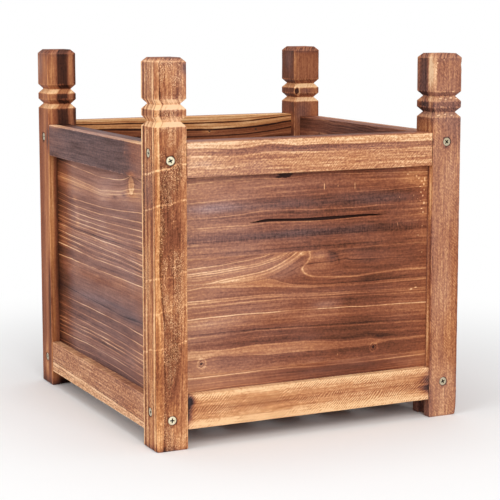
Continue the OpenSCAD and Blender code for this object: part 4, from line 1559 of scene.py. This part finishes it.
# Posts: u is the height, and v is x minus y from the middle, so the front left arris is at 0
FRONT_LEFT_POST = Wood(
    flow=[
        (-36, [(0, -36)]), (.2, [(0, .2)]),
        (5.5, [(0, 8.5), (60, 9.5), (125, 9.5), (160, 6.6), (197, 4.4), (235, 6), (340, 6), (400, 5.5)]),
        (8, [(0, 11), (60, 12), (125, 12), (160, 8.6), (197, 6.4), (235, 8), (340, 8)]),
        (16, [(0, 16.7), (60, 16.7), (400, 16)]),
        (25, [(0, 19.5), (50, 19.5), (80, 22), (130, 26), (340, 27)]),
        (28, [(0, 23), (60, 25), (100, 28), (200, 29.5), (340, 30)]), (36, [(0, 36)]),
    ],
    bands=[
        (-36, 1), (-33, 1), (-31.8, .6), (-30, .34), (-28, .32), (-26, .56), (-24.6, .78), (-22.6, .6),
        (-20, .42), (-18, .54), (-16, .68), (-14, .68), (-12, .64), (-10, .52), (-8, .48), (-6, .66),
        (-4, .83), (-2.4, .66), (-1, .4), (-.4, .66), (1, .7), (2.5, .74), (4.6, .7), (5.4, .26), (8, .39),
        (11, .38), (14, .36), (17, .42), (20, .44), (23, .36), (25.4, .42), (28, .56), (32, .62),
        (36, .62),
    ],
    lines=[
        (-28.5, -.1), (-25, .1), (-21, -.14), (-17, .08), (-13.5, -.08), (-9, -.14), (-4.6, .1),
        (-1.4, -.14), (6.5, -.08), (12, .06), (19, -.08), (29.5, .1),
    ],
    fade=[
        (0, .04), (17, .06), (50, .01), (83, -.02), (117, 0), (150, .06), (183, .05), (217, .01),
        (250, -.01), (283, 0), (302, .04), (317, .09), (345, .05), (360, .03), (400, .05),
    ],
    cool=[(0, -.3), (200, -.3), (330, 0), (400, .3)],
    spots=[
        (266, -16, 24, 14, -.14, .6), (17, 17, 20, 14, .08), (0, -17, 5, 22, -.3, .5), (17, -4, 8, 4, .16),
        (0, 17, 3.5, 20, -.2, .5), (389, 33, 6, 3, -.35, .9), (398, 16, 3, 30, -.2, .4),
        (110, -5, 40, 5, .06), (150, 15, 10, 7, .1, -.2), (270, -27, 46, 3, -.24),
        (258, -7, 40, 2.5, -.14), (60, -35, 70, 3, -.16), (78, 1, 30, 5, -.34, -.3),
        (122, 1, 16, 4, -.16, -.3), (30, 25, 22, 5, -.16), (30, 18, 24, 3, .12), (235, 5, 60, 3, .1, -.4),
        (380, 24, 18, 12, .06, .2), (378, 2, 18, 3, -.2), (317, 2, 14, 3, -.1), (350, -25, 50, 3.5, -.14),
        (160, 2.6, 150, 3, .02, -1.3), (350, -5, 8, 5, -.1), (85, -6, 45, 7, .15, -.4),
        (351, 17, 3, 16, .42, .9), (333.8, 17, 3, 16, .44, .9), (357, 17, 2.4, 16, .36, .7),
        (339, 17, 2.4, 16, .26, .7), (250, 27, 34, 2.2, .22), (268, 15, 16, 4, -.14),
        (160, 21, 45, 1.8, -.1), (75, 9.5, 65, 2, .14), (380, 11, 20, 6, .2, -.3),
        (378, 20, 20, 6, .1, -.3), (378, -31, 18, 3, .24), (378, -23, 18, 2.4, .17),
        (378, -18, 18, 2, -.2), (378, -26.5, 18, 1.5, -.14), (378, -2.5, 18, 1.8, .3),
        (317, -33, 14, 3, .22), (317, -22, 14, 2, .2), (317, -6, 14, 1.8, -.18), (317, -3.5, 14, 1.2, .16),
        (316, 8, 15, 6, .18, -.2), (316, 22, 15, 5, .16), (235, -34.5, 60, 2.4, .3),
        (100, -21, 42, 4, .16), (85, -3, 50, 2.2, .16), (27, 18.5, 18, 3, .1), (100, 31, 40, 2, .1),
        (250, 1, 28, 1.2, -.18), (25, 35, 20, 2, .2), (200, 30, 45, 2, -.09), (42, 20, 9, 8, .1, -.6),
    ],
    scrapes=[(106.5, .34), (143.5, .28), (178.5, .44), (216.5, .2), (251.5, .36), (287.5, .42)],
    line_width=.7, sway=.4, streak=.06, ring=.04, fibre=.15, pore=.13, grit=.12, fleck=.6, hatch=.03,
    wear=.3, wear_width=.9, seed=30,
)
FRONT_RIGHT_POST = Wood(
    bands=[
        (-36, .43), (-30, .34), (-26, .28), (-20, .28), (-13, .3), (-10.5, .46), (-7.5, .44), (-5, .22),
        (-2, .26), (-.6, .36), (.6, .5), (2, .58), (4, .62), (9, .64), (15, .64), (20, .62), (26, .62),
        (29, .6), (32, .56), (34, .46), (36, .34),
    ],
    fade=[
        (0, .06), (20, .05), (45, .05), (100, .02), (160, .01), (230, .02), (290, .02), (310, -.09),
        (330, -.16), (345, -.22), (362, -.02), (400, 0),
    ],
    cool=[(0, .8), (40, .6), (90, .3), (140, .5), (250, .6), (300, .6), (330, .9), (360, .6), (400, .4)],
    # The strong golden spots on the left face's strip by the groove (v -3.6 to -6 at heights 110, 235 and
    # 256) are golden wood raised further by painted light against the shade of the corner
    spots=[
        (256, -3.6, 34, 2.4, .76, -1), (262, -9.4, 60, 1.6, -.24), (120, -9.4, 90, 1.6, -.18),
        (381, 1.5, 22, 2.2, .2, .2), (382, -6.8, 32, 5.8, .76, .1), (382, -2.2, 30, 2.2, .36),
        (382, 6, 16, 3, -.1), (378, -19, 20, 5, -.1, .2), (384, -31, 20, 4.5, .16),
        (320, -19, 14, 22, .48, -1.3), (320, -12.2, 11, 1.2, -.3), (344.5, -6, 4.5, 3.5, .4, -.6),
        (344.5, -30, 4.5, 6, .22, -.8), (351, -18, 2.5, 18, .26, -.6), (333.8, -18, 2.5, 18, .1, .3),
        (130, 31, 120, 7, 0, -.6), (120, 1, 110, 1.6, -.12), (90, 36, 130, 1.6, -.22),
        (90, 24, 30, 7, .02, -.4), (8, 24, 12, 14, .05, -.2), (351, 18, 3, 17, -.06, .3),
        (334, 18, 3, 17, -.04, .3), (396, 20, 4, 26, -.16, .3), (250, -8, 20, 4, 0, -.5),
        (302, -8, 16, 4, .22, -.8), (110, -5, 80, 4.5, .36, -.8), (235, -6, 50, 3.5, .22, -.6),
        (98, -6.2, 34, 2.4, .36, -.2), (300, 35.5, 90, 2.2, .34, .2), (50, 14, 12, 10, .08),
    ],
    specks=[
        (351.6, 7, .9, 2.2), (350.6, 14, .7, 1.6), (352, 20, .9, 2.4), (351, 27, .8, 1.8),
        (333.4, 5, .8, 2.2), (334.4, 13, .9, 1.8), (333.2, 22, .7, 2), (342.6, 10, .7, 2.4),
        (358.6, 24, .8, 2), (390, 4, 1.2, .8), (393, 12, .8, 1.2),
    ],
    rise=wavy(41, .8, 160), sway=.5, streak=.035, ring=.02, fibre=.1, grit=.13, hatch=.05, lean=-1,
    fleck=.16, wear=.5, wear_width=.9, chip=1.2, seed=31,
)
BACK_RIGHT_POST = Wood(
    bands=[
        (-36, .26), (-30, .31), (-24, .29), (-15, .31), (-6, .28), (-1.8, .3), (-.4, .36), (.8, .44),
        (2.4, .5), (8, .52), (16, .55), (24, .52), (31, .46), (34, .32), (36, .26),
    ],
    cool=[(0, -.3), (400, -.1)],
    spots=[
        (376, .5, 17, 3, .22, -.3), (375, 4.5, 16, 1.2, -.1), (396, 16, 4, 26, -.24, .5),
        (318, 12, 16, 12, -.15, .6), (344.5, 16, 4, 7, -.14, .6), (344.5, 30, 4, 4, .1, -.4),
        (318, 30, 16, 5, .1, -.5), (318, -20, 14, 12, .12, .2), (360, 18, 2.5, 20, -.05),
        (383, -17, 16, 12, .04, .8), (368, 33, 20, 2.5, .1), (307, -6, 9, 5.5, .38, -.6),
        (8, 0, 14, 60, -.22),
    ],
    eyes=[(345, 3.6, 8, 5, RINGED_KNOT)],
    sway=.5, streak=.035, ring=.02, fibre=.07, pore=.05, grit=.07, fleck=.05, wear=.5, chip=1.2, seed=32,
)
BACK_LEFT_POST = Wood(
    bands=[
        (-36, .52), (-34, .52), (-32, .5), (-28, .44), (-24, .48), (-18, .53), (-14, .6), (-11, .64),
        (-8, .62), (-5, .58), (-2, .58), (0, .72), (1.5, .58), (4, .62), (8, .68), (11, .54), (13, .16),
        (19, .1), (24, .14), (26, .48), (28, .66), (31, .5), (33.5, .14), (36, .12),
    ],
    lines=[(-28, -.12), (-22, -.1), (-14, .05), (-9, -.08), (-4, -.08)],
    fade=[(0, -.1), (8, -.02), (60, -.03), (180, -.01), (320, -.02), (400, 0)],
    cool=[(0, -.1), (400, -.1)],
    spots=[
        (165, 8.8, 150, 3, -.44, -.3), (190, 3.2, 120, 2.8, .26, -.7), (60, 3.4, 60, 2.6, .1, -.5),
        (1.5, 17, 4, 22, -.35, .5), (88, -4, 42, 7, -.32, -.6), (165, -4, 40, 6, 0, -.4),
        (383, -7, 14, 5, .12), (30, -19, 22, 6, .3), (30, -9, 22, 4, -.26), (125, -3, 26, 6, -.22),
        (78, -35, 22, 2.5, -.24), (317, -1, 18, 3, -.18), (380, 5, 20, 3.5, .12, -.4),
        (380, 29, 20, 2, .14, -.3), (296, -3, 13, 5, -.3, .9), (2, -18, 7, 24, -.2, .3),
        (351, 17, 2.6, 9, .36, -.4), (333.8, 17, 2.6, 9, .26, -.3), (296, -27, 20, 5, .08),
        (383, -31, 18, 4, .12, .3), (236, -33, 45, 2, .1), (388, 2, 8, 8, -.12, .4),
        (210, -3, 45, 5, .1, -.2), (235, -11, 40, 3, .08), (382, -26, 16, 10, .03, .9),
        (397, 0, 4, 40, -.18, .4),
    ],
    rise=wavy(43, 1, 140), sway=.5, streak=.04, ring=.03, fibre=.08, pore=.06, fleck=.06, wear=.35,
    chip=1.2, seed=33,
)
POSTS = [
    Post(
        "front_left", ("front", "left"), FRONT_LEFT_POST, facets=(.16, .36), crown=.3,
        worn=[(-1, -1, 0, 7, 2.6)],
    ),
    Post(
        "front_right", ("front", "right"), FRONT_RIGHT_POST, facets=(-.08, .2), crown=-.04,
        worn=[(1, -1, 387, 3, 1.8), (1, -1, 376, 2, .8), (1, -1, 0, 8, 2.8)],
    ),
    Post("back_right", ("back", "right"), BACK_RIGHT_POST, facets=(-.06, .44), crown=-.04),
    Post("back_left", ("back", "left"), BACK_LEFT_POST, facets=(-.06, .32), crown=-.08),
]


# Screws and nails

def cross_wing(reach_top, reach_low, width_top, width_low, depth):
    """One tapered wing of a cross recess, down from just above the head."""
    points = []
    for z, reach, width in ((RECESS_START, reach_top, width_top), (depth, reach_low, width_low)):
        for sx, sy in ((-1, -1), (1, -1), (1, 1), (-1, 1)):
            points.append((sx * reach / 2, sy * width / 2, z))
    faces = [(3, 2, 1, 0), (4, 5, 6, 7)]
    faces += [(s, (s + 1) % 4, (s + 1) % 4 + 4, s + 4) for s in range(4)]
    return np.array(points), faces


def screw_mesh(f):
    """A wood screw along +Z from its head: a shallow countersunk head with a cross recess."""
    outer, inner = f.head_d / 2, f.shank_d / 2
    profile = [(part * outer, z) for part, z in SCREW_HEAD]
    profile += [(inner, SCREW_RIM + outer - inner), (inner, f.length - 3 * inner)]
    profile += [(radius, f.length + back) for radius, back in SCREW_TIP]
    points, faces = lathe(profile, SCREW_SIDES)
    piece = new_piece("screw_master", points, faces)
    for turn in (0, math.pi / 2):
        wing, wing_faces = cross_wing(*[part * f.head_d for part in SCREW_RECESS])
        cut(piece, wing @ np.array(Matrix.Rotation(turn, 3, "Z")).T, wing_faces)
    points = mesh_points(piece)
    faces = [list(p.vertices) for p in piece.data.polygons]
    bpy.data.objects.remove(piece)
    return points, faces


def build_screws(node, material, seed):
    """The screws of one CAD node, each turned by chance."""
    rng = random.Random(seed)
    points, faces = screw_mesh(FASTENERS[node][0])
    copies, sunk = [], []
    for f in FASTENERS[node]:
        copies.append((set_along(points, f.head, f.direction, rng.uniform(0, math.pi / 2)), faces))
        dull = DULL_SCREWS.get(node, DULL_OTHERS) + DULL_SIDE * abs(f.direction[0])
        dull += rng.uniform(-DULL_SWING, DULL_SWING)
        deep = points[:, 2]
        sunk.append(np.stack([deep, np.full_like(deep, max(dull, 0)), np.zeros_like(deep)], 1))
    piece = new_piece(node + "_metal", *joined(copies))
    set_attribute(piece.data, "sunk", np.concatenate(sunk))
    dress(piece, node, "screw_metal", material, angle=30)


def all_fasteners():
    """Screws as finer meshes; brads and nails keep the shape of their CAD nodes."""
    zinc = metal_material("screw_metal", *ZINC)
    steel = metal_material("nail_metal", *STEEL)
    for number, corner in enumerate(CORNERS):
        build_screws("screws_" + corner, zinc, SEEDS["post_screws"] + number)
    build_screws("bearer_screws", zinc, SEEDS["bearer_screws"])
    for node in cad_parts:
        if node.startswith("brads_") or node == "slat_nails":
            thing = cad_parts[node]
            thing.data.materials.clear()
            thing.data.materials.append(steel)


# Stage

def add_camera():
    data = bpy.data.cameras.new("camera")
    data.lens = CAMERA_LENS
    data.sensor_width = CAMERA_SENSOR
    data.shift_y = CAMERA_SHIFT_Y
    data.clip_end = CAMERA_FAR
    camera = bpy.data.objects.new("camera", data)
    camera.location = CAMERA_PLACE
    aim = Vector(CAMERA_AIM) - Vector(CAMERA_PLACE)
    camera.rotation_euler = aim.to_track_quat("-Z", "Y").to_euler()
    bpy.context.scene.collection.objects.link(camera)
    bpy.context.scene.camera = camera


def add_lamps():
    for name, place, size, watts in LAMPS:
        data = bpy.data.lights.new(name, "AREA")
        data.shape = "SQUARE"
        data.size = size
        data.energy = watts
        lamp = bpy.data.objects.new(name, data)
        lamp.location = place
        aim = Vector(LAMP_AIM) - Vector(place)
        lamp.rotation_euler = aim.to_track_quat("-Z", "Y").to_euler()
        bpy.context.scene.collection.objects.link(lamp)


def seen_ray(tree):
    """1 for a ray that shows the background itself or its reflection."""
    path = tree.nodes.new("ShaderNodeLightPath")
    first = tree.nodes.new("ShaderNodeMath")
    first.operation = "MAXIMUM"
    tree.links.new(path.outputs["Is Camera Ray"], first.inputs[0])
    tree.links.new(path.outputs["Is Glossy Ray"], first.inputs[1])
    second = tree.nodes.new("ShaderNodeMath")
    second.operation = "MAXIMUM"
    tree.links.new(first.outputs[0], second.inputs[0])
    tree.links.new(path.outputs["Is Transmission Ray"], second.inputs[1])
    return second.outputs[0]


def add_world():
    world = bpy.data.worlds.new("studio")
    world.use_nodes = True
    tree = world.node_tree
    background = tree.nodes["Background"]
    background.inputs["Color"].default_value = (1, 1, 1, 1)
    strength = tree.nodes.new("ShaderNodeMapRange")
    tree.links.new(seen_ray(tree), strength.inputs["Value"])
    strength.inputs["To Min"].default_value = AMBIENT
    strength.inputs["To Max"].default_value = 1.0
    tree.links.new(strength.outputs["Result"], background.inputs["Strength"])
    bpy.context.scene.world = world


def add_floor():
    """A pale floor that fades to white away from the object."""
    half = FLOOR_SIZE / 2 / MM
    corners = [(-half, -half, 0), (half, -half, 0), (half, half, 0), (-half, half, 0)]
    floor = new_piece("floor", corners, [(0, 1, 2, 3)])
    s = Shader("floor")
    place = s.add("ShaderNodeNewGeometry").outputs["Position"]
    fade = s.remap(s.length(place), *FLOOR_FADE, smooth=True)
    fade = s.math("MULTIPLY", fade, seen_ray(s.tree))
    plain = s.add("ShaderNodeBsdfDiffuse", {"Color": FLOOR_COLOUR})
    white = s.add("ShaderNodeEmission", {"Color": (1, 1, 1, 1), "Strength": 1.0})
    mixed = s.add("ShaderNodeMixShader", {0: fade, 1: plain.outputs[0], 2: white.outputs[0]})
    floor.data.materials.append(s.finish(mixed.outputs[0]))


bpy.context.scene.view_settings.view_transform = "Standard"
add_camera()
add_lamps()
add_world()
add_floor()
wall_boards()
wall_rails()
floor_timbers()
for post in POSTS:
    build_post(post)
all_fasteners()
